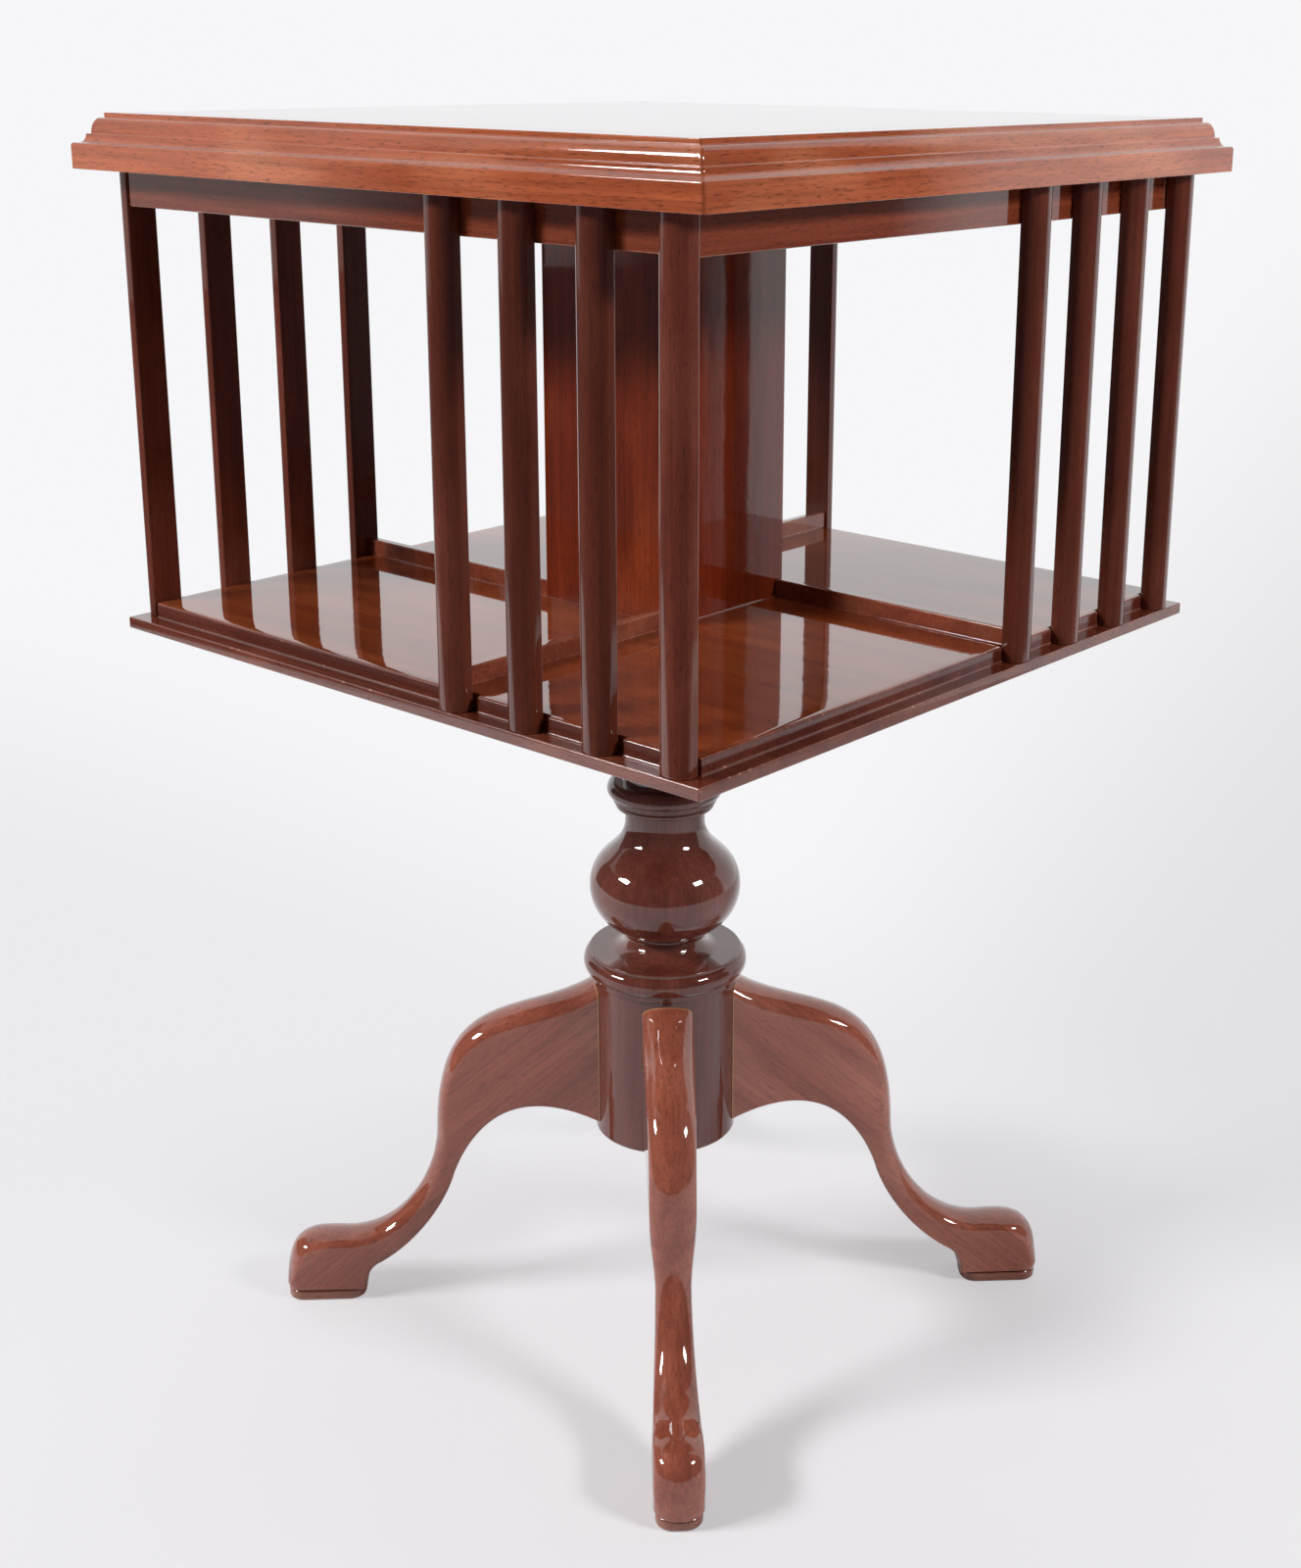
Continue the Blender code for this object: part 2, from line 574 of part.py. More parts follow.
def build_spindle():
    low = PILLAR_TOP - SPINDLE_SEAT + GAP
    high = NUT_BOTTOM + NUT_HEIGHT + SPINDLE_END
    edge = SPINDLE_RADIUS / 8
    outline = [(0.0, low), (SPINDLE_RADIUS, low), (SPINDLE_RADIUS, high - edge)]
    outline += [(SPINDLE_RADIUS - edge, high), (0.0, high)]
    add_object("spindle", turned("spindle", outline, SMALL_ROUND_STEPS), STEEL, base)
    inside = SPINDLE_RADIUS + GAP
    washer = ring_outline(inside, THRUST_WASHER_RADIUS, THRUST_WASHER_BOTTOM,
                          THRUST_WASHER_BOTTOM + THRUST_WASHER_THICKNESS)
    add_object("thrust_washer", turned("thrust_washer", washer, ROUND_STEPS), BRASS, base)
    washer = ring_outline(inside, NUT_WASHER_RADIUS, NUT_WASHER_BOTTOM,
                          NUT_WASHER_BOTTOM + NUT_WASHER_THICKNESS)
    add_object("nut_washer", turned("nut_washer", washer, SMALL_ROUND_STEPS), STEEL, base)

    def nut(bm):
        corner = NUT_ACROSS_FLATS / 2 / math.cos(math.pi / 6)
        rings = []
        for height, hexagonal in ((NUT_BOTTOM, True), (NUT_BOTTOM + NUT_HEIGHT, True),
                                  (NUT_BOTTOM + NUT_HEIGHT, False), (NUT_BOTTOM, False)):
            ring = []
            for i in range(SMALL_ROUND_STEPS):
                angle = 2 * math.pi * i / SMALL_ROUND_STEPS
                turn = (angle + math.pi / 6) % (math.pi / 3) - math.pi / 6
                radius = corner * math.cos(math.pi / 6) / math.cos(turn) if hexagonal else inside
                ring.append(bm.verts.new((radius * math.cos(angle), radius * math.sin(angle), height)))
            rings.append(ring)
        for ring, following in zip(rings, rings[1:] + rings[:1]):
            for i in range(SMALL_ROUND_STEPS):
                j = (i + 1) % SMALL_ROUND_STEPS
                bm.faces.new((ring[i], ring[j], following[j], following[i]))

    add_object("spindle_nut", mesh_from("spindle_nut", nut), STEEL, base)


def build_bearing_plate():
    hole = SPINDLE_RADIUS + SPINDLE_HOLE_MARGIN
    plate = ring_outline(hole, PLATE_RADIUS, PLATE_BOTTOM, PLATE_BOTTOM + PLATE_THICKNESS)
    add_object("bearing_plate", turned("bearing_plate", plate, ROUND_STEPS), STEEL, case)


def screw_mesh():
    """A pan-head screw on its own axis, driven up through a plate whose underside is at 0."""
    top = PLATE_SCREW_LENGTH
    outline = [(0.0, -GAP - PLATE_SCREW_HEAD_HEIGHT)]
    outline += ellipse_quarter(outline[-1], (PLATE_SCREW_HEAD_RADIUS, -GAP), steps=3)
    outline += [(PLATE_SCREW_RADIUS, -GAP), (PLATE_SCREW_RADIUS, top - PLATE_SCREW_RADIUS), (0.0, top)]
    return turned("plate_screw", outline, SMALL_ROUND_STEPS // 2)


def screw_places():
    """Plan positions of the plate's screws."""
    return [(PLATE_SCREW_CIRCLE * math.cos(QUARTER * i), PLATE_SCREW_CIRCLE * math.sin(QUARTER * i))
            for i in range(PLATE_SCREW_COUNT)]


def build_plate_screws():
    mesh = screw_mesh()
    for i, (x, y) in enumerate(screw_places()):
        screw = add_object(f"plate_screw_{i + 1}", mesh, STEEL, case)
        screw.location = (x, y, PLATE_BOTTOM)


def drill(piece, name, places, radius, low, high):
    """Cuts upright round holes of one radius through a piece."""

    def rods(bm):
        for x, y in places:
            bmesh.ops.create_cone(bm, cap_ends=True, segments=SMALL_ROUND_STEPS, radius1=radius,
                                  radius2=radius, depth=high - low,
                                  matrix=Matrix.Translation((x, y, (low + high) / 2)))

    cutter = add_object(name, mesh_from(name, rods), STEEL, case)
    cutter.hide_render = True
    cutter.display_type = "WIRE"
    hole = piece.modifiers.new(name, "BOOLEAN")
    hole.object = cutter
    hole.operation = "DIFFERENCE"
    hole.solver = "EXACT"


def panel_plan():
    """The raised panel's outline: a square notched at each slat. The outermost slat takes the corner."""
    inside = SHELF_PANEL_HALF - SLAT_NOTCH_DEPTH
    plan = []
    for turn in range(4):
        side = []
        for centre in slat_centres():
            near = centre - SLAT_WIDTH / 2 - GAP
            far = centre + SLAT_WIDTH / 2 + SLAT_NOTCH_SLACK
            side += [(near, -SHELF_PANEL_HALF), (near, -inside)]
            if far < SHELF_PANEL_HALF:
                side += [(far, -inside), (far, -SHELF_PANEL_HALF)]
            else:
                side += [(SHELF_PANEL_HALF, -inside)]
        quarter_turn = Matrix.Rotation(QUARTER * turn, 2)
        plan += [tuple(quarter_turn @ Vector(point)) for point in side]
    return plan


def build_shelf():
    half = SHELF_BASE_HALF
    lip = mesh_from("shelf_base", lambda bm: box(bm, (-half, -half, SHELF_BOTTOM), (half, half, LIP_TOP)))
    shelf_base = add_object("shelf_base", lip, SHELF_WOOD, case)
    plan = panel_plan()
    raised = mesh_from("shelf_panel", lambda bm: prism(bm, plan, LIP_TOP + GAP, SHELF_TOP))
    shelf_panel = add_object("shelf_panel", raised, SHELF_WOOD, case)
    reach = SHELF_TOP + GAP
    hole = SPINDLE_RADIUS + SPINDLE_HOLE_MARGIN
    screw_tip = PLATE_BOTTOM + PLATE_SCREW_LENGTH + GAP
    plate = bpy.data.objects["bearing_plate"]
    for piece in (shelf_base, shelf_panel):
        drill(piece, piece.name + "_spindle_hole", [(0.0, 0.0)], hole, SHELF_BOTTOM - GAP, reach)
    for piece in (plate, shelf_base, shelf_panel):
        drill(piece, piece.name + "_screw_holes", screw_places(), PLATE_SCREW_RADIUS + GAP,
              PLATE_BOTTOM - GAP, screw_tip)


def build_slats():
    side = SLAT_THICKNESS - SLAT_CROWN
    section = [(SLAT_WIDTH / 2, 0.0), (SLAT_WIDTH / 2, side)]
    for i in range(1, SLAT_STEPS):
        angle = math.pi * i / SLAT_STEPS
        section.append((SLAT_WIDTH / 2 * math.cos(angle), side + SLAT_CROWN * math.sin(angle)))
    section += [(-SLAT_WIDTH / 2, side), (-SLAT_WIDTH / 2, 0.0)]
    top = SLAT_BOTTOM + SLAT_LENGTH
    for i, centre in enumerate(slat_centres()):
        plan = [(centre + across, -SLAT_BACK - out) for across, out in section]
        mesh = mesh_from("slat", lambda bm: prism(bm, plan, SLAT_BOTTOM, top), smooth_above=SOFT_EDGE)
        for turn, face in enumerate(FACES):
            add_object(f"slat_{face}_{i + 1}", mesh, SLAT_WOOD, case, QUARTER * turn)


def build_rails():
    top = TOP_BOTTOM - GAP
    low = (-RAIL_FACE, -RAIL_FACE, top - RAIL_HEIGHT)
    high = (RAIL_FACE - RAIL_THICKNESS - GAP, -RAIL_FACE + RAIL_THICKNESS, top)
    mesh = mesh_from("rail", lambda bm: box(bm, low, high))
    for turn, face in enumerate(FACES):
        add_object(f"rail_{face}", mesh, TOP_WOOD, case, QUARTER * turn)


def build_dividers():
    """Low strips on the shelf, in line with a side of the column, out to each innermost slat."""
    low = (COLUMN_HALF - DIVIDER_THICKNESS, -SLAT_BACK + GAP, SHELF_TOP + GAP)
    high = (COLUMN_HALF, -COLUMN_HALF - GAP, SHELF_TOP + GAP + DIVIDER_HEIGHT)
    mesh = mesh_from("divider", lambda bm: box(bm, low, high))
    for turn, face in enumerate(FACES):
        add_object(f"divider_{face}", mesh, SHELF_WOOD, case, QUARTER * turn)


def mitred(outline, bm):
    """A length along a side of a square, from (distance out, height) points, mitred at both ends."""
    slack = GAP / 2 * math.sqrt(2)
    loft(bm, [[(end * (out - slack), -out, height) for out, height in outline] for end in (-1, 1)])


def build_column():
    low, high = SHELF_TOP + GAP, PANEL_BOTTOM - GAP
    section = [(COLUMN_INSIDE, low), (COLUMN_HALF, low), (COLUMN_HALF, high), (COLUMN_INSIDE, high)]
    mesh = mesh_from("column_board", lambda bm: mitred(section, bm))
    for turn, face in enumerate(FACES):
        add_object(f"column_{face}", mesh, COLUMN_WOOD, case, QUARTER * turn)
    half = COLUMN_INSIDE - GAP
    for name, bottom in (("lower", SHELF_TOP + GAP), ("upper", UPPER_BLOCK_TOP - BUSH_BLOCK_HEIGHT)):
        top = bottom + BUSH_BLOCK_HEIGHT
        low, high = (-half, -half, bottom), (half, half, top)
        block = mesh_from(f"{name}_bush_block", lambda bm: box(bm, low, high))
        piece = add_object(f"{name}_bush_block", block, PLAIN_WOOD, case)
        drill(piece, f"{name}_bush_hole", [(0.0, 0.0)], BUSH_RADIUS + GAP, bottom - GAP, top + GAP)
        flange = BUSH_RADIUS + BUSH_FLANGE
        flange_bottom = top + GAP
        flange_top = flange_bottom + BUSH_FLANGE_THICKNESS
        bore = SPINDLE_RADIUS + RUNNING_GAP
        bush = [(bore, flange_top), (flange, flange_top), (flange, flange_bottom),
                (BUSH_RADIUS, flange_bottom), (BUSH_RADIUS, bottom), (bore, bottom)]
        add_object(f"{name}_bush", turned(f"{name}_bush", bush, SMALL_ROUND_STEPS), BRASS, case)


def moulding_outline():
    """The top's edge as (distance out, height) points, from its inner foot round the outside to the top."""
    inner = TOP_HALF - MOULDING_WIDTH
    points = [(inner, TOP_BOTTOM), (TOP_HALF, TOP_BOTTOM)]
    points += [(TOP_HALF, TOP_BOTTOM + FASCIA_HEIGHT - FASCIA_ROUND)]
    lip_top = TOP_BOTTOM + FASCIA_HEIGHT
    points += ellipse_quarter(points[-1], (TOP_HALF - FASCIA_ROUND, lip_top), "height", steps=3)
    cove_foot = TOP_HALF - LIP_STEP
    cove_top = lip_top + COVE_HEIGHT
    points += [(cove_foot, lip_top)]
    points += ellipse_quarter(points[-1], (cove_foot - COVE_WIDTH, cove_top), steps=5)
    ovolo_foot = cove_foot - COVE_WIDTH - QUIRK_STEP
    ovolo_top = cove_top + OVOLO_HEIGHT
    points += [(ovolo_foot, cove_top)]
    points += ellipse_quarter(points[-1], (ovolo_foot - OVOLO_WIDTH, ovolo_top), "height")
    top_edge = ovolo_foot - OVOLO_WIDTH - TOP_STEP
    points += [(top_edge, ovolo_top), (top_edge, TABLE_HEIGHT), (inner, TABLE_HEIGHT)]
    return points


def build_top():
    outline = moulding_outline()
    mesh = mesh_from("top_moulding", lambda bm: mitred(outline, bm), smooth_above=SOFT_EDGE)
    for turn, face in enumerate(FACES):
        add_object(f"top_moulding_{face}", mesh, TOP_WOOD, case, QUARTER * turn)
    half = TOP_HALF - MOULDING_WIDTH - GAP
    low, high = (-half, -half, PANEL_BOTTOM), (half, half, TABLE_HEIGHT)
    panel = mesh_from("top_panel", lambda bm: box(bm, low, high))
    add_object("top_panel", panel, TOP_WOOD, case)


build_pillar()
build_legs()
build_pads()
build_spindle()
build_bearing_plate()
build_plate_screws()
build_shelf()
build_slats()
build_rails()
build_dividers()
build_column()
build_top()
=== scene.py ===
# %% [markdown]
# # A revolving book table in polished mahogany
# The construction comes first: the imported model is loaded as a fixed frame, with one object for every
# real piece. This lesson dresses that frame. Each piece of mahogany is made again as a finer mesh in the
# same place, with softened edges, and gets a wood finish made from nodes. The metal and the plain blocks
# inside keep their own meshes and only get better materials.

# %% Load the frame
import math

import bmesh
import bpy
from mathutils import Matrix, Vector


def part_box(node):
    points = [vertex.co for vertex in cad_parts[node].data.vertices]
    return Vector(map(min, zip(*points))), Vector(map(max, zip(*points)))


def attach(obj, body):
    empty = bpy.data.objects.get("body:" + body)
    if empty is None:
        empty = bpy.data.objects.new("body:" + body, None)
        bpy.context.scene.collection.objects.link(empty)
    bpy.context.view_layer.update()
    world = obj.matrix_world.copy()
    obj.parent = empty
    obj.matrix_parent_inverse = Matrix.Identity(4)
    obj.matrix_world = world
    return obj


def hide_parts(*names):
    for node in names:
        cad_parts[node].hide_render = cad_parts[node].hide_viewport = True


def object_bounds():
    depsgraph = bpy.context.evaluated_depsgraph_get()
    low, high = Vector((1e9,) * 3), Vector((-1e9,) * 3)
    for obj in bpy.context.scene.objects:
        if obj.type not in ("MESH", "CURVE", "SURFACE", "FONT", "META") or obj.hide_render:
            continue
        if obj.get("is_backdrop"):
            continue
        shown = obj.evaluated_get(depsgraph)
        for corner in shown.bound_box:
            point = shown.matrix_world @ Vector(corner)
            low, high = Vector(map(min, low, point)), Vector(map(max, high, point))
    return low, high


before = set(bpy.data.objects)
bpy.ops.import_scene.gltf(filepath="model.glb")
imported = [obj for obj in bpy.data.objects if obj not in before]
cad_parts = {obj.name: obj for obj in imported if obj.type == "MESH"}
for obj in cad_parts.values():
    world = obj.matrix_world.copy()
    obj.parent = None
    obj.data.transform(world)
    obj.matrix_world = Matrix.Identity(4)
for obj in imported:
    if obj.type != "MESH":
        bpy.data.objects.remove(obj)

CAD_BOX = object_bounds()
FACES = ("front", "right", "back", "left")
QUARTER = math.radians(90)
# The clearance between pieces that butt, as in the construction model
GAP = 0.0003


def rounded(corners):
    """The corners of a box to a tenth of a millimetre, for printing."""
    return [tuple(round(v, 4) for v in corner) for corner in corners]


print("frame:", len(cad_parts), "nodes, box", rounded(CAD_BOX))

# %% [markdown]
# ## The camera
# The photograph was taken from a little above the table top, off the front right corner. The camera's
# place and lens were worked out once from the edges of the square top and shelf, which are known
# sizes. A camera looks along its own -Z, so its matrix is made from three directions: right, up, back.

# %% Camera
CAMERA_PLACE = Vector((0.8023, -0.8859, 0.7733))
CAMERA_AZIMUTH = math.radians(40.4943)
CAMERA_TILT = math.radians(15.9592)
CAMERA_ROLL = math.radians(0.4071)
CAMERA_LENS, SENSOR_WIDTH = 47.885, 36.0
CAMERA_SHIFT = (-0.04644, -0.0894)
camera_back = Vector((math.sin(CAMERA_AZIMUTH) * math.cos(CAMERA_TILT),
                      -math.cos(CAMERA_AZIMUTH) * math.cos(CAMERA_TILT),
                      math.sin(CAMERA_TILT)))
camera_right = Vector((math.cos(CAMERA_AZIMUTH), math.sin(CAMERA_AZIMUTH), 0.0))
camera_up = camera_back.cross(camera_right)
rolled_right = camera_right * math.cos(CAMERA_ROLL) + camera_up * math.sin(CAMERA_ROLL)
rolled_up = camera_up * math.cos(CAMERA_ROLL) - camera_right * math.sin(CAMERA_ROLL)
turned_camera = Matrix((rolled_right, rolled_up, camera_back)).transposed().to_4x4()

camera_data = bpy.data.cameras.new("camera")
camera_data.lens, camera_data.sensor_width = CAMERA_LENS, SENSOR_WIDTH
camera_data.shift_x, camera_data.shift_y = CAMERA_SHIFT
camera = bpy.data.objects.new("camera", camera_data)
camera.matrix_world = Matrix.Translation(CAMERA_PLACE) @ turned_camera
bpy.context.scene.collection.objects.link(camera)
bpy.context.scene.camera = camera
print("camera at", rounded([CAMERA_PLACE]), "lens", CAMERA_LENS)

# %% [markdown]
# ## Colours and nodes
# Colours are written as the hex values that a screen shows. Shaders work with linear light, so one
# function converts them. One more function adds any node: it sets properties or sockets, then links.
# Each material and the world start from an empty tree, so that every node of theirs is in this file.

# %% Helpers for materials
def colour(hex_code):
    """A screen colour such as #AB5D3D as linear red, green, blue and alpha."""
    shares = [int(hex_code[i:i + 2], 16) / 255 for i in (1, 3, 5)]
    return [s / 12.92 if s <= 0.04045 else ((s + 0.055) / 1.055) ** 2.4 for s in shares] + [1.0]


def nodes_for(owner):
    """Empties the node tree of a material or a world, and gives the function that adds a node to it."""
    owner.use_nodes = True
    tree = owner.node_tree
    tree.nodes.clear()

    def add(kind, settings=None, links=None):
        """A node with its properties or sockets set, linked from outputs or from nodes' first outputs."""
        node = tree.nodes.new("ShaderNode" + kind)
        for name, value in (settings or {}).items():
            if isinstance(name, int) or name in node.inputs:
                node.inputs[name].default_value = value
            else:
                setattr(node, name, value)
        for name, source in (links or {}).items():
            output = source.outputs[0] if isinstance(source, bpy.types.Node) else source
            tree.links.new(output, node.inputs[name])
        return node

    return add


# Mix and Map Range nodes have sockets of one name for each kind of data, so these go by number
MIX_A, MIX_B, MIX_OUT = 6, 7, 2
FROM_LOW, FROM_HIGH, TO_LOW, TO_HIGH = 1, 2, 3, 4
print("half grey on a screen is", round(colour("#808080")[0], 3), "in linear light")

# %% [markdown]
# ## The grain of mahogany
# Mahogany is a red-brown wood with long soft bands, finer streaks, and short dark pores like pen
# strokes. A picture of wood would do for its colour, but it would stretch round the turned pillar.
# Noise that is stretched along the grain works in any direction, and its sizes are real ones. Boards
# come from different places in the tree, so each piece takes its own part of the noise and its own
# shade. Pores are about 0.25 mm wide: too fine to show here, so they are drawn wider.

# %% Grain
# What the eye finds in the wood and its polish: metres along and across the grain, and fine detail
PATTERNS = {
    "bands": ((0.300, 0.014, 0.014), 3),
    "streaks": ((0.080, 0.0022, 0.0022), 3),
    "pores": ((0.0060, 0.00055, 0.00055), 1),
    "clouds": ((0.120, 0.050, 0.050), 2),
    "chips": ((0.0090, 0.0035, 0.0035), 3),
    "ripple": ((0.030, 0.012, 0.012), 1),
    "peel": ((0.0022, 0.0022, 0.0022), 0),
}
WAVER = 0.25
# The strength of noise at which a pattern starts to show, and at which it shows in full
SHOWS = {"bands": (0.34, 0.66), "clouds": (0.48, 0.72), "pores": (0.58, 0.68), "chips": (0.66, 0.70)}
# How noise and chance turn to the shade of a streak and of a whole piece
STREAK_SHADES = {FROM_LOW: 0.25, FROM_HIGH: 0.75, TO_LOW: 0.78, TO_HIGH: 1.22}
PIECE_SHADES = {TO_LOW: 0.88, TO_HIGH: 1.12}
BOARD_SHIFT = (2.7, 1.3, 3.1)
GRAIN_X = (0.0, 0.0, 0.0)
GRAIN_Z = (0.0, -QUARTER, 0.0)


def grain_noise(add, grain, place, own):
    """The noise of every pattern, stretched along the grain and shifted for each piece."""
    cut = add("VectorMath", {"operation": "MULTIPLY_ADD", 1: BOARD_SHIFT},
              {0: own.outputs["Random"], 2: place.outputs["Object"]})
    noise = {}
    for pattern, (size, detail) in PATTERNS.items():
        laid = add("Mapping", {"vector_type": "TEXTURE", "Rotation": grain, "Scale": size}, {"Vector": cut})
        noise[pattern] = add("TexNoise", {"Scale": 1.0, "Detail": detail, "Distortion": WAVER},
                             {"Vector": laid})
    return noise


def wood_colour(add, noise, shown, own, shades, pore, pore_share):
    """Colour from deep in the wood: bands, paler clouds, streaks, a shade for each piece, and pores."""
    heart, warm, pale = (colour(shade) for shade in shades)
    banded = add("Mix", {"data_type": "RGBA", MIX_A: heart, MIX_B: warm}, {"Factor": shown["bands"]})
    clouded = add("Mix", {"data_type": "RGBA", MIX_B: pale},
                  {"Factor": shown["clouds"], MIX_A: banded.outputs[MIX_OUT]})
    streak = add("MapRange", STREAK_SHADES, {"Value": noise["streaks"]})
    shade = add("MapRange", PIECE_SHADES, {"Value": own.outputs["Random"]})
    depth = add("Math", {"operation": "MULTIPLY"}, {0: streak, 1: shade})
    grained = add("VectorMath", {"operation": "SCALE"}, {0: clouded.outputs[MIX_OUT], "Scale": depth})
    pored = add("Math", {"operation": "MULTIPLY", 1: pore_share}, {0: shown["pores"]})
    wood = add("Mix", {"data_type": "RGBA", MIX_B: colour(pore)}, {"Factor": pored, MIX_A: grained})
    return wood.outputs[MIX_OUT]


print("grain:", len(PATTERNS), "patterns, bands", PATTERNS["bands"][0][1], "m wide")

# %% [markdown]
# ## French polish
# French polish is many thin coats of shellac rubbed to a mirror. Over the colour from deep in the wood,
# it gives the eye a faint satin sheen off the fibres and a sharp mirror on top, which ripples a little
# where the rubber passed. A coat layer on the shader is that mirror. Two more things may show: chips of
# bare wood on an arris that hands rub, and a line of old glue where a leg meets the round block.

# %% Polish
RIPPLE_DEPTH, PEEL_DEPTH = 0.000030, 0.000006
SHELLAC_IOR = 1.5
BARE_WOOD, GLUE = "#A87862", "#B07A58"
# How far out from the block the glue is whole, and where it ends
GLUE_WHOLE, GLUE_END = 0.0007, 0.0014


def polished_wood(name, heart, warm, pale, pore="#2A0F08", grain=GRAIN_X, sheen_roughness=0.06,
                  polish_roughness=0.03, pore_share=0.45, wear=None, sheen=0.25, glue_radius=None):
    """Wood whose grain runs along one direction of the piece, under a clear polish."""
    made = bpy.data.materials.new(name)
    add = nodes_for(made)
    place = add("TexCoord")
    own = add("ObjectInfo")
    noise = grain_noise(add, grain, place, own)
    shown = {}
    for pattern, (start, full) in SHOWS.items():
        ramp = {"interpolation_type": "SMOOTHSTEP", FROM_LOW: start, FROM_HIGH: full}
        shown[pattern] = add("MapRange", ramp, {"Value": noise[pattern]})
    wood = wood_colour(add, noise, shown, own, (heart, warm, pale), pore, pore_share)
    if wear:
        chipped = add("Mix", {"data_type": "RGBA", MIX_B: colour(wear)},
                      {"Factor": shown["chips"], MIX_A: wood})
        wood = chipped.outputs[MIX_OUT]
    if glue_radius:
        level = add("VectorMath", {"operation": "MULTIPLY", 1: (1.0, 1.0, 0.0)},
                    {0: place.outputs["Object"]})
        away = add("VectorMath", {"operation": "LENGTH"}, {0: level})
        line = add("MapRange", {FROM_LOW: glue_radius + GLUE_END, FROM_HIGH: glue_radius + GLUE_WHOLE},
                   {"Value": away.outputs["Value"]})
        glued = add("Mix", {"data_type": "RGBA", MIX_B: colour(GLUE)}, {"Factor": line, MIX_A: wood})
        wood = glued.outputs[MIX_OUT]

    rippled = add("Bump", {"Strength": 1.0, "Distance": RIPPLE_DEPTH}, {"Height": noise["ripple"]})
    peeled = add("Bump", {"Strength": 1.0, "Distance": PEEL_DEPTH},
                 {"Height": noise["peel"], "Normal": rippled})
    shader = add("BsdfPrincipled",
                 {"Roughness": sheen_roughness, "IOR": SHELLAC_IOR, "Specular IOR Level": sheen,
                  "Coat Weight": 1.0, "Coat Roughness": polish_roughness, "Coat IOR": SHELLAC_IOR},
                 {"Base Color": wood, "Normal": rippled, "Coat Normal": peeled})
    add("OutputMaterial", links={"Surface": shader})
    return made


# %% [markdown]
# ## A finish for each place
# Light and hands have changed the table for years, so its parts aren't one colour. The top has faded to
# orange brown and the legs to a soft pink brown, while the slats and the column keep a deep red. The
# column's wood is also a little darker, as painted shade from the top above it. An arris is paler, partly
# because polish rubs off there first and partly as a painted highlight line. The shelf panel's upright
# sides are a darker copy of its wood, a painted shade, and its lip is a darker wood than its flat top.
# Each finish is one call with its dark, middle and pale wood.

# %% Finishes
BLOCK_RADIUS = 0.0439
LEG_GRAIN = (0.0, math.radians(40), 0.0)
TOP_WOOD = polished_wood("mahogany_top_french_polished", "#9B4B2B", "#AF5C39", "#B56947")
# Paler arris of the top: partly worn polish, partly a painted highlight line
TOP_EDGE = polished_wood("mahogany_top_worn_arris_painted_highlight", "#A25436", "#BE7150", "#CA8664", wear=BARE_WOOD)
RAIL_WOOD = polished_wood("mahogany_rail_french_polished", "#672C1A", "#7B3A24", "#874730")
# Paler arris of the rails and dividers: partly worn polish, partly a painted highlight line
RAIL_EDGE = polished_wood("mahogany_rail_worn_arris_painted_highlight", "#7C402C", "#92533C", "#9E624B", wear=BARE_WOOD)
DIVIDER_WOOD = polished_wood("mahogany_divider_french_polished", "#743625", "#884530", "#93533D")
SHELF_WOOD = polished_wood("mahogany_shelf_french_polished", "#703117", "#843E1D", "#904A26",
                           polish_roughness=0.02)
SHELF_EDGE = polished_wood("mahogany_shelf_worn_arris", "#5C3028", "#6E3E34", "#7A4A40",
                           polish_roughness=0.22, wear=BARE_WOOD)
# Upright sides of the shelf panel: a darker copy of the shelf wood, as painted shade
SHELF_SIDE_PAINTED_SHADE = polished_wood("mahogany_shelf_side_painted_shade", "#4E2016", "#5E2A1E", "#683226", polish_roughness=0.15)
LIP_WOOD = polished_wood("mahogany_lip_french_polished", "#5A2618", "#6C3322", "#783E2C",
                         polish_roughness=0.06)
# Paler arris of the lip: partly worn polish, partly a painted highlight line
LIP_EDGE = polished_wood("mahogany_lip_worn_arris_painted_highlight", "#6A362A", "#7C4638", "#885346",
                         polish_roughness=0.22, wear=BARE_WOOD)
SLAT_WOOD = polished_wood("mahogany_slat_french_polished", "#512215", "#5E2A1C", "#693426",
                          grain=GRAIN_Z, sheen_roughness=0.30, polish_roughness=0.06, sheen=0.08)
# Paler arris of the slats: partly worn polish, partly a painted highlight line
SLAT_EDGE = polished_wood("mahogany_slat_worn_arris_painted_highlight", "#5A2A1C", "#6A3426", "#764032", grain=GRAIN_Z,
                          sheen_roughness=0.30, polish_roughness=0.06, wear=BARE_WOOD, sheen=0.15)
# The column's wood is partly its own deep red, and partly made darker as painted shade from the top above it
COLUMN_WOOD = polished_wood("mahogany_column_french_polished", "#5F200C", "#722812", "#7E3418",
                            grain=GRAIN_Z)
# Paler arris of the column: a painted highlight line, partly worn polish
COLUMN_EDGE = polished_wood("mahogany_column_worn_arris_painted_highlight", "#74321A", "#864024", "#925030", grain=GRAIN_Z)
PILLAR_WOOD = polished_wood("mahogany_pillar_french_polished", "#5B2C21", "#6B372C", "#744035",
                            grain=GRAIN_Z, polish_roughness=0.02, pore_share=0.35)
LEG_WOOD = polished_wood("mahogany_leg_french_polished", "#854534", "#985441", "#A2614E", grain=LEG_GRAIN,
                         polish_roughness=0.025, pore_share=0.4, glue_radius=BLOCK_RADIUS)
PAD_WOOD = polished_wood("mahogany_pad_french_polished", "#7C4636", "#8E5644", "#9C6551")
print("wood finishes:", sum(m.name.startswith("mahogany") for m in bpy.data.materials))

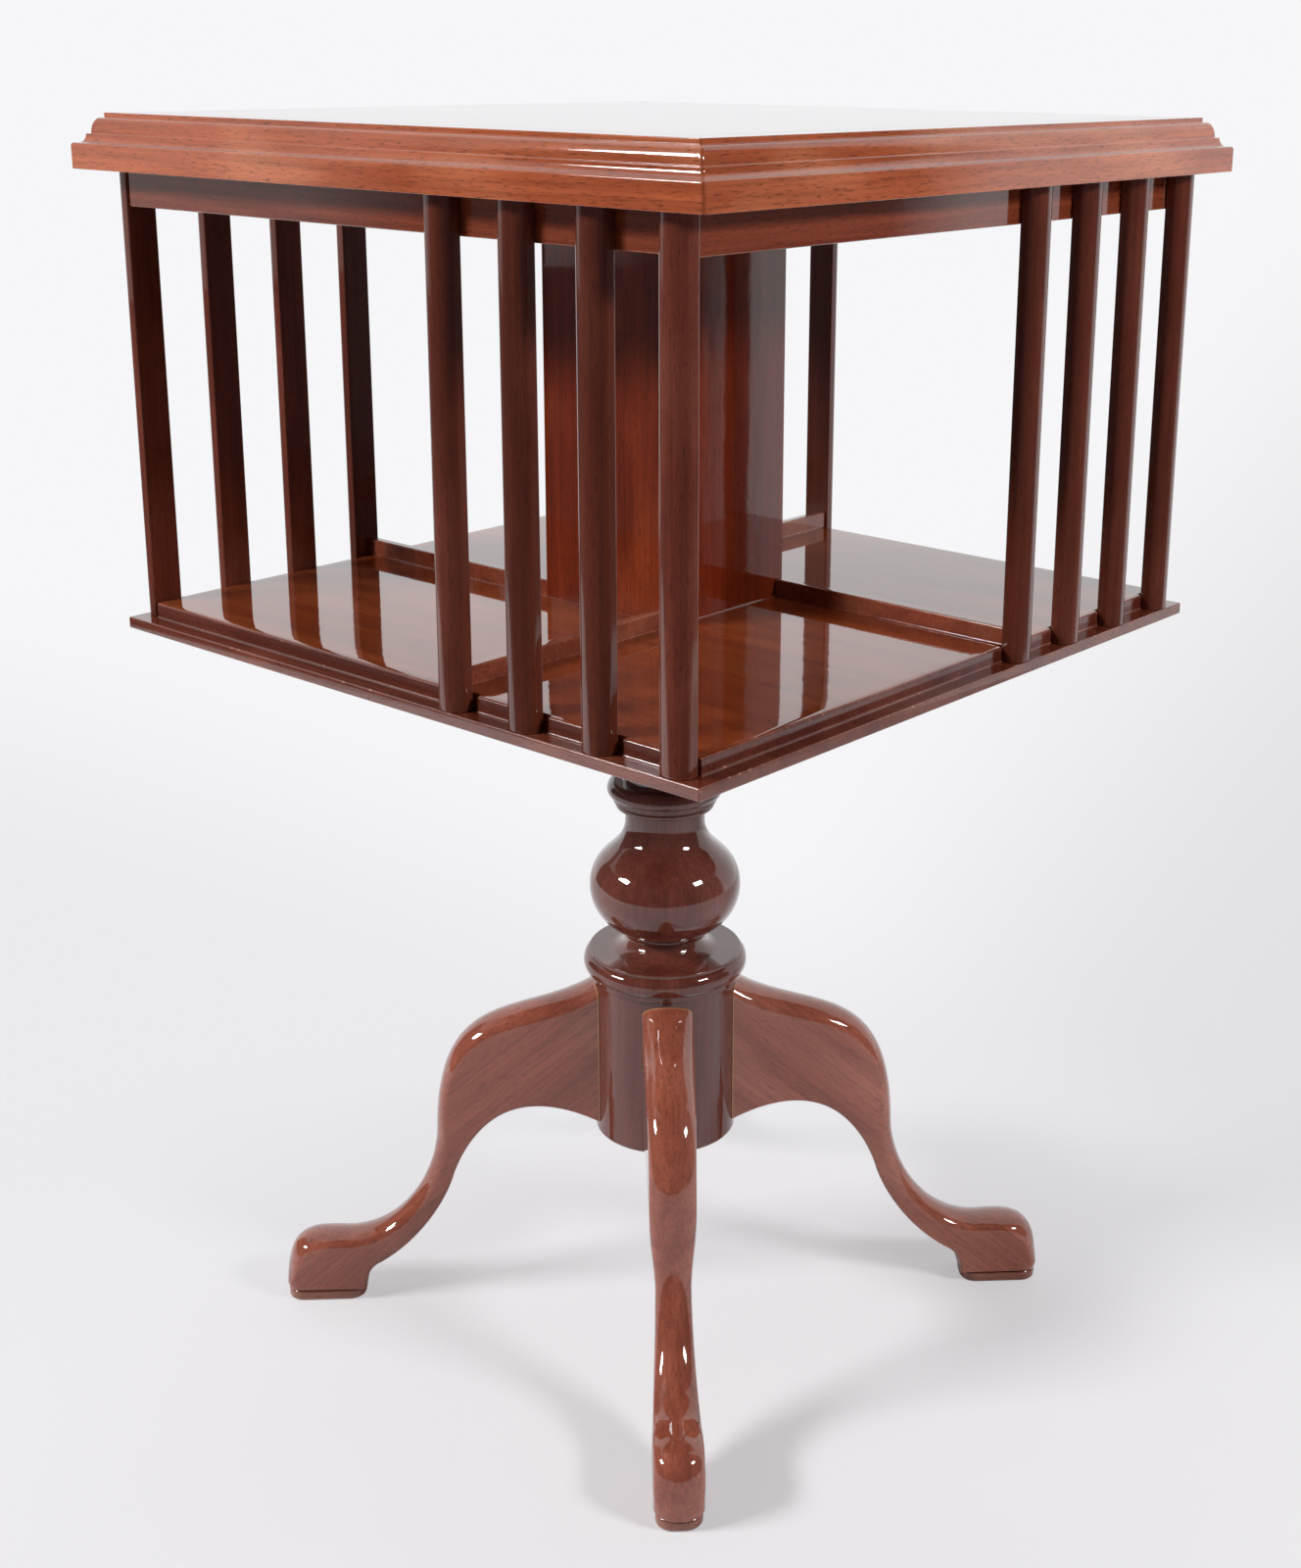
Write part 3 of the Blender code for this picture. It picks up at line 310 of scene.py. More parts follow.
# %% [markdown]
# ## Making a piece
# Every piece is built with bmesh, a mesh that a script can edit. It is drawn in the place of the CAD
# node that it stands for. The four faces of the case are one face turned by quarter turns, so a piece
# of the front is drawn once and turned. A weighted normal keeps flat boards flat between their
# rounded edges, which matters on a mirror polish.

# %% Helpers for pieces
SOFT_EDGE = math.radians(40)


def mesh_object(name, bm):
    """An object in the scene from a bmesh, which is used up."""
    mesh = bpy.data.meshes.new(name)
    bm.to_mesh(mesh)
    bm.free()
    made = bpy.data.objects.new(name, mesh)
    bpy.context.scene.collection.objects.link(made)
    return made


def piece(node, build, finishes, body, turn=0.0, soft_edge=SOFT_EDGE):
    """A dressed piece that stands for one CAD node, from a build(bm) in the table's own frame."""
    bm = bmesh.new()
    build(bm)
    bmesh.ops.recalc_face_normals(bm, faces=bm.faces)
    made = mesh_object("polished_" + node, bm)
    for finish in finishes:
        made.data.materials.append(finish)
    made.data.shade_smooth()
    made.data.set_sharp_from_angle(angle=soft_edge)
    made.rotation_euler.z = turn
    made.modifiers.new("even_light", "WEIGHTED_NORMAL").keep_sharp = True
    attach(made, body)
    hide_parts(node)
    return made


def weave(bm, rows):
    """Quads between successive rows of corners."""
    for lower, upper in zip(rows, rows[1:]):
        for i in range(len(lower) - 1):
            bm.faces.new((lower[i], lower[i + 1], upper[i + 1], upper[i]))


def loft(bm, rings):
    """A skin over successive closed rings of points, with a face over each end."""
    loops = [[bm.verts.new(point) for point in ring] for ring in rings]
    weave(bm, [loop + loop[:1] for loop in loops])
    return bm.faces.new(loops[0]), bm.faces.new(loops[-1])


def soften(bm, edges, width, steps=3):
    """Rounds edges over. The new faces take the second finish, the worn arris, which is paler partly as a
    painted highlight line.
    """
    bmesh.ops.bevel(bm, geom=list(edges), offset=width, segments=steps, profile=0.5, affect="EDGES",
                    clamp_overlap=True, material=1)


def board(bm, low, high, arris):
    """A square-edged board with its arrises rubbed round."""
    middle = (low + high) / 2
    bmesh.ops.create_cube(bm, size=1.0, matrix=Matrix.LocRotScale(middle, None, high - low))
    soften(bm, bm.edges, arris)


def plain_board(node, arris):
    """What builds a board that fills the box of a CAD node."""
    return lambda bm: board(bm, *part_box(node), arris)


# %% [markdown]
# ## Profiles
# Turners and joiners build a profile from a few named curves: the quarter round, the half round and the
# hollow. An outline of such curves needs only the sizes that a maker would measure, where a list of
# typed points would need hundreds. No real corner is quite sharp, so one more helper eases them.

# %% Helpers for profiles
TOO_SHORT, EASED_SHARE = 1e-7, 0.45


def stepped(whole, steps):
    """Equal steps from nothing to a whole turn or length, with both ends."""
    return [whole * i / steps for i in range(steps + 1)]


def ellipse_quarter(start, end, first="radius", steps=12):
    """Points after start on a quarter ellipse that leaves start along the radius or the height."""
    points = []
    for angle in stepped(QUARTER, steps)[1:]:
        leading, following = math.sin(angle), 1.0 - math.cos(angle)
        across, rise = (leading, following) if first == "radius" else (following, leading)
        points.append((start[0] + (end[0] - start[0]) * across, start[1] + (end[1] - start[1]) * rise))
    return points


def half_round(start, height, reach, steps=20):
    """Points of a half-round moulding that stands out by reach from start and is height high."""
    points = []
    for angle in stepped(math.pi, steps)[1:]:
        points.append((start[0] + reach * math.sin(angle), start[1] + height * (1.0 - math.cos(angle)) / 2))
    return points


def arc(centre, radius, first, last, steps=16):
    """Points on an arc in the (radius, height) plane, without its first. Angles are from outward."""
    angles = [first + angle for angle in stepped(last - first, steps)[1:]]
    return [(centre[0] + radius * math.cos(a), centre[1] + radius * math.sin(a)) for a in angles]


def eased(points, radius, sharpest=math.radians(30), steps=3):
    """An outline whose sharp corners are rubbed round, each by no more than its shorter side allows."""
    made = []
    for before, corner, after in zip(points[-1:] + points[:-1], points, points[1:] + points[:1]):
        corner = Vector(corner)
        came, went = Vector(before) - corner, Vector(after) - corner
        shorter = min(came.length, went.length)
        if shorter < TOO_SHORT or math.pi - came.angle(went) < sharpest:
            made.append(tuple(corner))
            continue
        share = min(radius, shorter * EASED_SHARE)
        first, last = corner + came.normalized() * share, corner + went.normalized() * share
        for t in stepped(1.0, steps):
            made.append(tuple(first * (1 - t) ** 2 + corner * 2 * t * (1 - t) + last * t ** 2))
    return made


# %% [markdown]
# ## The pillar
# The pillar was turned on a lathe from one block. The outline repeats the CAD outline with smoother
# curves, and its corners are rubbed round as sandpaper leaves them. Spinning the outline about the
# axis gives the solid. Many steps are used because a polished bulb shows every facet.

# %% Pillar
PILLAR_STEPS = 144
ARRIS = 0.0005
BLOCK_BOTTOM = 0.1160
BLOCK_TOP = BLOCK_BOTTOM + 0.1035
SPINDLE_SEAT = 0.1100


def pillar_outline():
    """The pillar's half section as (radius, height), up the outside and down the spindle's hole."""
    boss, boss_bottom, boss_edge, block_edge = 0.0220, BLOCK_BOTTOM - 0.0134, 0.0030, 0.0020
    points = [(0.0, boss_bottom), (boss - boss_edge, boss_bottom)]
    points += ellipse_quarter(points[-1], (boss, boss_bottom + boss_edge), steps=5)
    points += [(boss, BLOCK_BOTTOM), (BLOCK_RADIUS - block_edge, BLOCK_BOTTOM)]
    points += ellipse_quarter(points[-1], (BLOCK_RADIUS, BLOCK_BOTTOM + block_edge), steps=5)
    # Collar: a fillet, a half round and a rim
    fillet, collar, rim = BLOCK_RADIUS + 0.0030, 0.0505, 0.0470
    fillet_height, collar_height, rim_height = 0.0037, 0.0118, 0.0022
    points += [(BLOCK_RADIUS, BLOCK_TOP), (fillet, BLOCK_TOP), (fillet, BLOCK_TOP + fillet_height)]
    points += half_round(points[-1], collar_height, collar - fillet)
    points += [(rim, points[-1][1]), (rim, points[-1][1] + rim_height)]
    # Scotia up to the neck, and the foot of the bulb
    neck, scotia_depth, scotia_height, foot, foot_height = 0.0230, 0.0110, 0.0088, 0.0252, 0.0034
    points += [(neck + scotia_depth, points[-1][1])]
    points += ellipse_quarter(points[-1], (neck, points[-1][1] + scotia_height))
    points += [(foot, points[-1][1]), (foot, points[-1][1] + foot_height)]
    # Bulb: a lower and an upper arc, a straight shoulder, and the hollow of the throat
    bulb, lower_curve, upper_curve, shoulder = 0.0464, 0.0310, 0.0280, math.radians(46.4)
    start = -math.acos((foot - bulb + lower_curve) / lower_curve)
    belly = points[-1][1] - lower_curve * math.sin(start)
    points += arc((bulb - lower_curve, belly), lower_curve, start, 0.0, steps=28)
    points += arc((bulb - upper_curve, belly), upper_curve, 0.0, shoulder)
    throat_radius, throat_curve, throat_height = 0.0243, 0.0220, 0.0085
    hollow_start = throat_radius + throat_curve * (1 - math.cos(shoulder))
    throat = points[-1][1] + (points[-1][0] - hollow_start) / math.tan(shoulder)
    points += [(hollow_start, throat)]
    throat += throat_curve * math.sin(shoulder)
    points += arc((throat_radius + throat_curve, throat), throat_curve, math.pi + shoulder, math.pi)
    # Two rings and the cushion cap
    lower_ring, lower_height, upper_ring, upper_height = 0.0303, 0.0040, 0.0318, 0.0030
    ring_foot, ring_edge = throat + throat_height, 0.0010
    points += [(throat_radius, ring_foot), (lower_ring - ring_edge, ring_foot)]
    points += half_round(points[-1], lower_height, ring_edge, steps=8)
    points += [(upper_ring, points[-1][1]), (upper_ring, points[-1][1] + upper_height)]
    cushion, cushion_below, cushion_above, cushion_round = 0.0352, 0.0045, 0.0055, 0.0045
    points += ellipse_quarter(points[-1], (cushion, points[-1][1] + cushion_below))
    points += ellipse_quarter(points[-1], (cushion - cushion_round, points[-1][1] + cushion_above), "height")
    # Shaft, flange, and the hole for the spindle
    shaft_foot, shaft_head, shaft_length, bore = 0.0255, 0.0225, 0.0767, 0.0083
    flange, flange_edge, flange_flare, flange_height = 0.0345, 0.00225, 0.0090, 0.0090
    points += [(shaft_foot, points[-1][1]), (shaft_head, points[-1][1] + shaft_length)]
    points += ellipse_quarter(points[-1], (flange - flange_edge, points[-1][1] + flange_flare), "height")
    points += half_round(points[-1], flange_height, flange_edge, steps=10)
    top = points[-1][1]
    seat = top - SPINDLE_SEAT
    return eased(points + [(bore, top), (bore, seat), (0.0, seat)], ARRIS)


def pillar(bm):
    outline = pillar_outline()
    outline[0] = (0.0, outline[0][1])
    turned = [bm.verts.new((max(radius, 0.0), 0.0, height)) for radius, height in outline]
    edges = [bm.edges.new(pair) for pair in zip(turned, turned[1:])]
    bmesh.ops.spin(bm, geom=turned + edges, axis=(0, 0, 1), cent=(0, 0, 0), angle=2 * math.pi,
                   steps=PILLAR_STEPS, use_merge=True)
    bmesh.ops.remove_doubles(bm, verts=bm.verts, dist=1e-6)


piece("pillar", pillar, [PILLAR_WOOD], "base")
print("pillar: turned from", len(pillar_outline()), "points, top at", round(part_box("pillar")[1].z, 4))

# %% [markdown]
# ## The legs' side view
# A cabriole leg is sawn from a board by its side view, an S that is full at the knee and thin at the
# ankle. It could be a mesh that is bent by hand, but two chains of cubic curves hold the same shape in
# a few points: one for the ridge, one for the underside. The leg is drawn pointing along +X.

# %% Leg curves
FOOT_REACH, FOOT_LENGTH, FOOT_WIDTH, FOOT_HEIGHT, TOE_ROUND = 0.2428, 0.0510, 0.0286, 0.0430, 0.0100
PAD_HEIGHT, PAD_INSET = 0.0070, 0.0010
SOLE = PAD_HEIGHT + GAP


def leg_curves():
    """The leg's side view as two chains of cubic curves of (reach, height): its ridge and its underside."""
    joint_top = BLOCK_TOP - 0.0020
    joint_foot = joint_top - 0.0925
    root = BLOCK_RADIUS - 0.0055
    heel = FOOT_REACH - FOOT_LENGTH
    shin = (0.1445, 0.1150)
    instep = (FOOT_REACH - 0.0367, FOOT_HEIGHT)
    toe = (FOOT_REACH, SOLE + 0.0050)
    calf = (shin[0] - 0.0105, 0.0860)
    hollow = (heel - 0.0075, SOLE + 0.0172)
    ridge = [
        ((root, BLOCK_TOP), (root + 0.0456, joint_top - 0.0320),
         (shin[0] - 0.0015, joint_top - 0.0010), shin),
        (shin, (shin[0] + 0.0015, shin[1] - 0.0350), (instep[0] - 0.0360, FOOT_HEIGHT), instep),
        (instep, (FOOT_REACH - 0.0110, FOOT_HEIGHT + 0.0008),
         (FOOT_REACH - 0.0020, FOOT_HEIGHT + 0.0008), toe),
    ]
    underside = [
        ((root, joint_foot - 0.0040), (root + 0.0420, joint_foot + 0.0200),
         (calf[0] - 0.0180, calf[1] + 0.0520), calf),
        (calf, (calf[0] + 0.0055, calf[1] - 0.0200), (hollow[0] - 0.0260, hollow[1] + 0.0135), hollow),
        (hollow, (heel - 0.0025, hollow[1] - 0.00344), (heel, hollow[1] - 0.0086), (heel, SOLE)),
        ((heel, SOLE), (heel + FOOT_LENGTH / 3, SOLE), (FOOT_REACH - FOOT_LENGTH / 3, SOLE),
         (FOOT_REACH, SOLE)),
    ]
    return ridge, underside


def along(chain, place):
    """The point at a place on a chain of cubic curves, each one unit long."""
    index = min(int(place), len(chain) - 1)
    t = place - index
    s = 1.0 - t
    weights = (s ** 3, 3 * s * s * t, 3 * s * t * t, t ** 3)
    return tuple(sum(w * p[i] for w, p in zip(weights, chain[index])) for i in (0, 1))


print("leg: its ridge ends at", rounded([along(leg_curves()[0], 3)]))

# %% [markdown]
# ## The legs
# After sawing, the ridge is rounded with a spokeshave and the sides stay flat. So the leg is a loft of
# sections, each from a place on the ridge to the matching place on the underside. The leg is then turned
# to its place, and cut with a cylinder of the round block's own size, so that the joint fits.

# %% Legs
LEG_STEPS, RIDGE_STEPS, ARRIS_STEPS = 112, 18, 4
RIDGE_CROWN, LEG_ARRIS = 0.0090, 0.0025
LEG_SOFT_EDGE = math.radians(50)
# Stations from root to toe, with their places on both curves, and the stations that set the width
STATIONS = (0, 1, 2, 3, 4)
ON_RIDGE, ON_UNDERSIDE = (0.0, 0.89, 1.25, 2.0, 3.0), (0.0, 0.77, 1.04, 2.0, 4.0)
WIDTH_STATIONS = (0.0, 1.0, 2.0, 3.4, 4.0)
WIDTHS = (0.0310, 0.0274, 0.0212, FOOT_WIDTH, FOOT_WIDTH)


def reading(value, knots, results, smooth):
    """Results read between knots, straight or with a level tangent at each knot."""
    for a, b, p, q in zip(knots, knots[1:], results, results[1:]):
        if value <= b:
            t = (value - a) / (b - a)
            return p + (q - p) * (t * t * (3 - 2 * t) if smooth else t)
    return results[-1]


def leg_section(ridge, under, half):
    """One section across the leg: round along the ridge, flat sides, small arrises below."""
    length = math.dist(ridge, under)
    down = ((under[0] - ridge[0]) / length, (under[1] - ridge[1]) / length)
    crown, arris = min(RIDGE_CROWN, length / 2), min(LEG_ARRIS, length / 4)
    outline = []
    for angle in stepped(math.pi, RIDGE_STEPS):
        outline.append((crown * (1.0 - math.sin(angle)), -half * math.cos(angle)))
    corner = []
    for angle in stepped(QUARTER, ARRIS_STEPS):
        corner.append((length - arris * (1.0 - math.sin(angle)), half - arris * (1.0 - math.cos(angle))))
    outline += corner + [(depth, -across) for depth, across in reversed(corner)]
    ring = []
    for depth, across in outline:
        reach = ridge[0] + down[0] * depth
        past = max(reach - (FOOT_REACH - TOE_ROUND), 0.0)
        narrowed = half - TOE_ROUND + math.sqrt(max(TOE_ROUND ** 2 - past ** 2, 0.0))
        ring.append((reach, across * narrowed / half, ridge[1] + down[1] * depth))
    return ring


def leg(bm):
    ridge, underside = leg_curves()
    rings = []
    for station in stepped(STATIONS[-1], LEG_STEPS):
        top = along(ridge, reading(station, STATIONS, ON_RIDGE, False))
        under = along(underside, reading(station, STATIONS, ON_UNDERSIDE, False))
        width = reading(station, WIDTH_STATIONS, WIDTHS, True)
        rings.append(leg_section(top, under, width / 2))
    loft(bm, rings)


def rod(bm, x, y, radius, low, high, steps=32):
    """An upright round bar."""
    bmesh.ops.create_cone(bm, cap_ends=True, segments=steps, radius1=radius, radius2=radius,
                          depth=high - low, matrix=Matrix.Translation((x, y, (low + high) / 2)))


def block_shape(bm):
    rod(bm, 0.0, 0.0, BLOCK_RADIUS + GAP, 0.0, 2 * BLOCK_TOP, steps=PILLAR_STEPS)


def cut_away(made, build):
    """Cuts a shape out of a piece for good, with a Boolean."""
    bm = bmesh.new()
    build(bm)
    cutter = mesh_object("cutter", bm)
    mesh = cutter.data
    cutter.matrix_world = made.matrix_world
    cut = made.modifiers.new("cut", "BOOLEAN")
    cut.object, cut.solver = cutter, "EXACT"
    made.modifiers.move(len(made.modifiers) - 1, 0)
    with bpy.context.temp_override(object=made):
        bpy.ops.object.modifier_apply(modifier="cut")
    bpy.data.objects.remove(cutter)
    bpy.data.meshes.remove(mesh)


print("leg:", LEG_STEPS + 1, "sections,", min(WIDTHS), "wide at the ankle")

# %% [markdown]
# ## Foot pads
# Each foot stands on a thin pad, with a groove above it that shows as a dark line. The pad is a stack of
# rings with round corners, drawn in at the bottom and the top by a round edge. Legs and pads are then
# set round the block by quarter turns.

# %% Foot pads
LEG_FIRST_ANGLE = math.radians(-46)
PAD_EDGE, PAD_EDGE_STEPS, PAD_CORNER_STEPS = 0.0018, 4, 8


def foot_pad(bm):
    """A flat pad with round corners and a round edge, a little smaller than the foot."""
    inner, outer = FOOT_REACH - FOOT_LENGTH + PAD_INSET, FOOT_REACH - PAD_INSET
    half = FOOT_WIDTH / 2 - PAD_INSET
    profile = []
    for low, sign in ((0.0, 1), (PAD_HEIGHT, -1)):
        rounds = []
        for angle in stepped(QUARTER, PAD_EDGE_STEPS):
            rounds.append((PAD_EDGE * (1 - math.sin(angle)), low + sign * PAD_EDGE * (1 - math.cos(angle))))
        profile += rounds if sign > 0 else rounds[::-1]
    rings = []
    for inset, height in profile:
        drawn = TOE_ROUND - inset
        ring = []
        for reach, side, turn in ((outer, 1, 0), (inner, 1, 1), (inner, -1, 2), (outer, -1, 3)):
            x = reach - math.copysign(TOE_ROUND, reach - (inner + outer) / 2)
            y = side * (half - TOE_ROUND)
            for angle in stepped(QUARTER, PAD_CORNER_STEPS):
                angle += QUARTER * turn
                ring.append((x + drawn * math.cos(angle), y + drawn * math.sin(angle), height))
        rings.append(ring)
    loft(bm, rings)


for i in range(4):
    turn = LEG_FIRST_ANGLE + QUARTER * i
    made = piece(f"leg_{i + 1}", leg, [LEG_WOOD], "base", turn, LEG_SOFT_EDGE)
    cut_away(made, block_shape)
    piece(f"foot_pad_{i + 1}", foot_pad, [PAD_WOOD], "base", turn)
print("legs and pads: 4, each leg of", len(made.data.polygons), "faces, toe at", FOOT_REACH)

# %% [markdown]
# ## The shelf
# The shelf is a thin square base that stands out as a lip, with a raised panel on it. The panel is
# notched where each slat passes. Hand polishing leaves its top falling very slightly towards the
# edges, which bends the mirror image there, so the panel is made of square rings that dip outwards.
# The notches and the spindle's hole are then cut out.

# %% Shelf
SHELF_LOW, SHELF_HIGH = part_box("shelf_base")
PANEL_LOW, PANEL_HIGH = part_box("shelf_panel")
LIP_ROUND = 0.0008
SLAT_BOXES = [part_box(f"slat_front_{i + 1}") for i in range(4)]
NOTCH_DEPTH, NOTCH_SLACK = 0.0030, 0.0040
HOLE_RADIUS, SCREW_CIRCLE, SCREW_HOLE, SCREW_DEPTH = 0.0095, 0.0390, 0.0021, 0.0082
# How far a cutter reaches past what it cuts
OVERCUT = 0.01
# How far in from the edge, and how far down there
PANEL_FALL = ((0.0, 0.0016), (0.0002, 0.0010), (0.0006, 0.0006), (0.0014, 0.00034), (0.0040, 0.00018),
              (0.0090, 0.00008), (0.0180, 0.00002), (0.0300, 0.0))
# Polish gathers in an inner corner as a small fillet: how far it stands out, and how far up there
FILLET = ((0.0006, 0.00002), (0.00018, 0.0004), (0.0, 0.0010))
# The upward share of a normal: above the first a face lies level, below the second it stands upright
LEVEL, UPRIGHT = 0.9, 0.1
PANEL_SOFT_EDGE = math.radians(35)


def square(half, height):
    return [(-half, -half, height), (half, -half, height), (half, half, height), (-half, half, height)]


def shelf_panel(bm):
    half = PANEL_HIGH.x
    foot = [square(half + out, SHELF_HIGH.z + rise) for out, rise in FILLET]
    loft(bm, foot + [square(half - inward, PANEL_HIGH.z - fall) for inward, fall in PANEL_FALL])
    bm.normal_update()
    for face in bm.faces:
        height, slope = face.calc_center_median().z, abs(face.normal.z)
        in_fillet = height < SHELF_HIGH.z + FILLET[-1][1]
        on_arris = height > PANEL_HIGH.z - PANEL_FALL[0][1]
        if slope < LEVEL and (in_fillet or on_arris):
            face.material_index = 1
        # Upright faces take the darker copy of the wood: painted shade
        elif slope < UPRIGHT:
            face.material_index = 2


def shelf_holes(bm):
    """The spindle's hole through both boards, and the holes of the bearing plate's screws."""
    rod(bm, 0.0, 0.0, HOLE_RADIUS, SHELF_LOW.z - OVERCUT, PANEL_HIGH.z + OVERCUT)
    for i in range(4):
        angle = QUARTER * i
        rod(bm, SCREW_CIRCLE * math.cos(angle), SCREW_CIRCLE * math.sin(angle), SCREW_HOLE,
            SHELF_LOW.z - OVERCUT, SHELF_LOW.z + SCREW_DEPTH, steps=16)


def panel_cuts(bm):
    """The same holes, and a notch for each slat."""
    shelf_holes(bm)
    half = PANEL_HIGH.x
    for turn in range(4):
        for low, high in SLAT_BOXES:
            notch_low = Vector((low.x - GAP, -half - OVERCUT, PANEL_LOW.z - OVERCUT))
            notch_high = Vector((high.x + NOTCH_SLACK, -half + NOTCH_DEPTH, PANEL_HIGH.z + OVERCUT))
            size = Matrix.LocRotScale((notch_low + notch_high) / 2, None, notch_high - notch_low)
            bmesh.ops.create_cube(bm, size=1.0, matrix=Matrix.Rotation(QUARTER * turn, 4, "Z") @ size)


made = piece("shelf_base", plain_board("shelf_base", LIP_ROUND), [LIP_WOOD, LIP_EDGE],
             "case")
cut_away(made, shelf_holes)
made = piece("shelf_panel", shelf_panel, [SHELF_WOOD, SHELF_EDGE, SHELF_SIDE_PAINTED_SHADE], "case",
             soft_edge=PANEL_SOFT_EDGE)
cut_away(made, panel_cuts)
print("shelf: lip", round(SHELF_HIGH.x * 2, 4), "panel", round(PANEL_HIGH.x * 2, 4))

# %% [markdown]
# ## Slats
# A slat is a strip with a flat back, short flat sides and a low round front. The plan is lofted
# upwards. Its foot is rubbed round all the way, as the light on it shows, and its back arrises too.

# %% Slats
SLAT_CROWN = 0.0070
SLAT_STEPS = 28
SLAT_ARRIS = 0.0010
SLAT_FOOT_ROUND = 0.0012


def slat_plan(low, high):
    """The slat's section seen from above: flat back, short sides, low round front."""
    middle, half = (low.x + high.x) / 2, (high.x - low.x) / 2
    side = low.y + SLAT_CROWN
    plan = [(high.x, high.y), (high.x, side)]
    for angle in stepped(math.pi, SLAT_STEPS)[1:-1]:
        plan.append((middle + half * math.cos(angle), side - SLAT_CROWN * math.sin(angle)))
    plan += [(low.x, side), (low.x, high.y)]
    return eased(plan, SLAT_ARRIS)


def slat(bm, low, high):
    plan = slat_plan(low, high)
    foot, _ = loft(bm, [[(x, y, z) for x, y in plan] for z in (low.z, high.z)])
    soften(bm, foot.edges, SLAT_FOOT_ROUND)


for turn, face in enumerate(FACES):
    for i, (low, high) in enumerate(SLAT_BOXES):
        piece(f"slat_{face}_{i + 1}", lambda bm: slat(bm, low, high), [SLAT_WOOD, SLAT_EDGE],
              "case", QUARTER * turn)
print("slats:", 4 * len(SLAT_BOXES), "each", rounded([high - low]))

# %% [markdown]
# ## Rails, dividers and column
# These are plain boards. The rails run under the top, the dividers keep books off each other on the
# shelf, and four boards mitred together make the hollow column. Sharp edges never stay sharp on
# furniture, so each one is rubbed round by a fraction of a millimetre.

# %% Rails, dividers and column
RAIL_ARRIS, DIVIDER_ARRIS, COLUMN_ARRIS = 0.0007, 0.0009, 0.0004
MITRE_LINE = 0.00006
COLUMN_LOW, COLUMN_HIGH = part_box("column_front")


def mitred(bm, outline, slack, arris, corner=0.0, steps=4):
    """A length along one side of a square, from (distance out, height) points, mitred at both ends.
    A corner above zero rounds the square's corner by that much at the outermost point, less further in."""
    inner, outer = min(out for out, _ in outline), max(out for out, _ in outline)
    angles = stepped(QUARTER / 2, steps)[::-1] if corner else [QUARTER / 2]
    rings = []
    for end, turns in ((-1, angles), (1, angles[::-1])):
        for angle in turns:
            ring = []
            for out, height in outline:
                drawn = corner * (out - inner) / (outer - inner)
                across = out - drawn * (1 - math.sin(angle)) - slack
                ring.append((end * across, -out + drawn * (1 - math.cos(angle)), height))
            rings.append(ring)
    ends = loft(bm, rings)
    soften(bm, {edge for face in ends for edge in face.edges}, arris, steps=2)


def column_board(bm):
    inside, outside = -COLUMN_HIGH.y, -COLUMN_LOW.y
    foot = COLUMN_LOW.z - GAP
    outline = [(inside, foot)] + [(outside + out, foot + rise) for out, rise in FILLET]
    outline += [(outside, COLUMN_HIGH.z), (inside, COLUMN_HIGH.z)]
    mitred(bm, outline, MITRE_LINE, COLUMN_ARRIS)


def divider(bm):
    low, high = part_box("divider_front")
    rings = []
    for out, rise in FILLET + ((0.0, high.z - low.z + GAP),):
        left, right, height = low.x - out, high.x + out, low.z - GAP + rise
        rings.append([(left, low.y, height), (right, low.y, height),
                      (right, high.y, height), (left, high.y, height)])
    _, top = loft(bm, rings)
    soften(bm, top.edges, DIVIDER_ARRIS)


for turn, face in enumerate(FACES):
    angle = QUARTER * turn
    piece(f"rail_{face}", plain_board("rail_front", RAIL_ARRIS), [RAIL_WOOD, RAIL_EDGE],
          "case", angle)
    piece(f"divider_{face}", divider, [DIVIDER_WOOD, RAIL_EDGE], "case", angle)
    piece(f"column_{face}", column_board, [COLUMN_WOOD, COLUMN_EDGE], "case", angle)
print("boards: 12, column", round(-COLUMN_LOW.y * 2, 4), "square")

# %% [markdown]
# ## The top
# The top is a panel framed by four lengths of moulding, planed to one profile and mitred at the
# corners. From below: a flat fascia with a soft upper edge, a small step, a cove, a step, a quarter
# round (ovolo), and a thin fillet. The mitre shows as a hairline.

# %% Top
TOP_LOW, TOP_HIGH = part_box("top_moulding_front")
TOP_HALF = -TOP_LOW.y
MOULDING_WIDTH = 0.0350
MOULDING_ARRIS, MITRE_ARRIS, PANEL_ARRIS = 0.0004, 0.00015, 0.0002
TOP_CORNER = 0.0018


def moulding_outline():
    """The top's edge as (distance out, height) points, from its inner foot round the outside to the top."""
    inner = TOP_HALF - MOULDING_WIDTH
    fascia_top, fascia_round = TOP_LOW.z + 0.0140, 0.0015
    points = [(inner, TOP_LOW.z), (TOP_HALF, TOP_LOW.z), (TOP_HALF, fascia_top - fascia_round)]
    points += ellipse_quarter(points[-1], (TOP_HALF - fascia_round, fascia_top), "height", steps=6)
    cove_foot, cove_depth, cove_top = TOP_HALF - 0.00325, 0.0029, fascia_top + 0.0048
    points += [(cove_foot, fascia_top)]
    points += ellipse_quarter(points[-1], (cove_foot - cove_depth, cove_top), steps=10)
    ovolo_foot, ovolo_depth, ovolo_top = cove_foot - 0.0049, 0.0042, cove_top + 0.0084
    points += [(ovolo_foot, cove_top)]
    points += ellipse_quarter(points[-1], (ovolo_foot - ovolo_depth, ovolo_top), "height")
    top_edge = ovolo_foot - 0.0055
    points += [(top_edge, ovolo_top), (top_edge, TOP_HIGH.z), (inner, TOP_HIGH.z)]
    return eased(points, MOULDING_ARRIS)


def moulding(bm):
    mitred(bm, moulding_outline(), MITRE_LINE, MITRE_ARRIS, corner=TOP_CORNER)


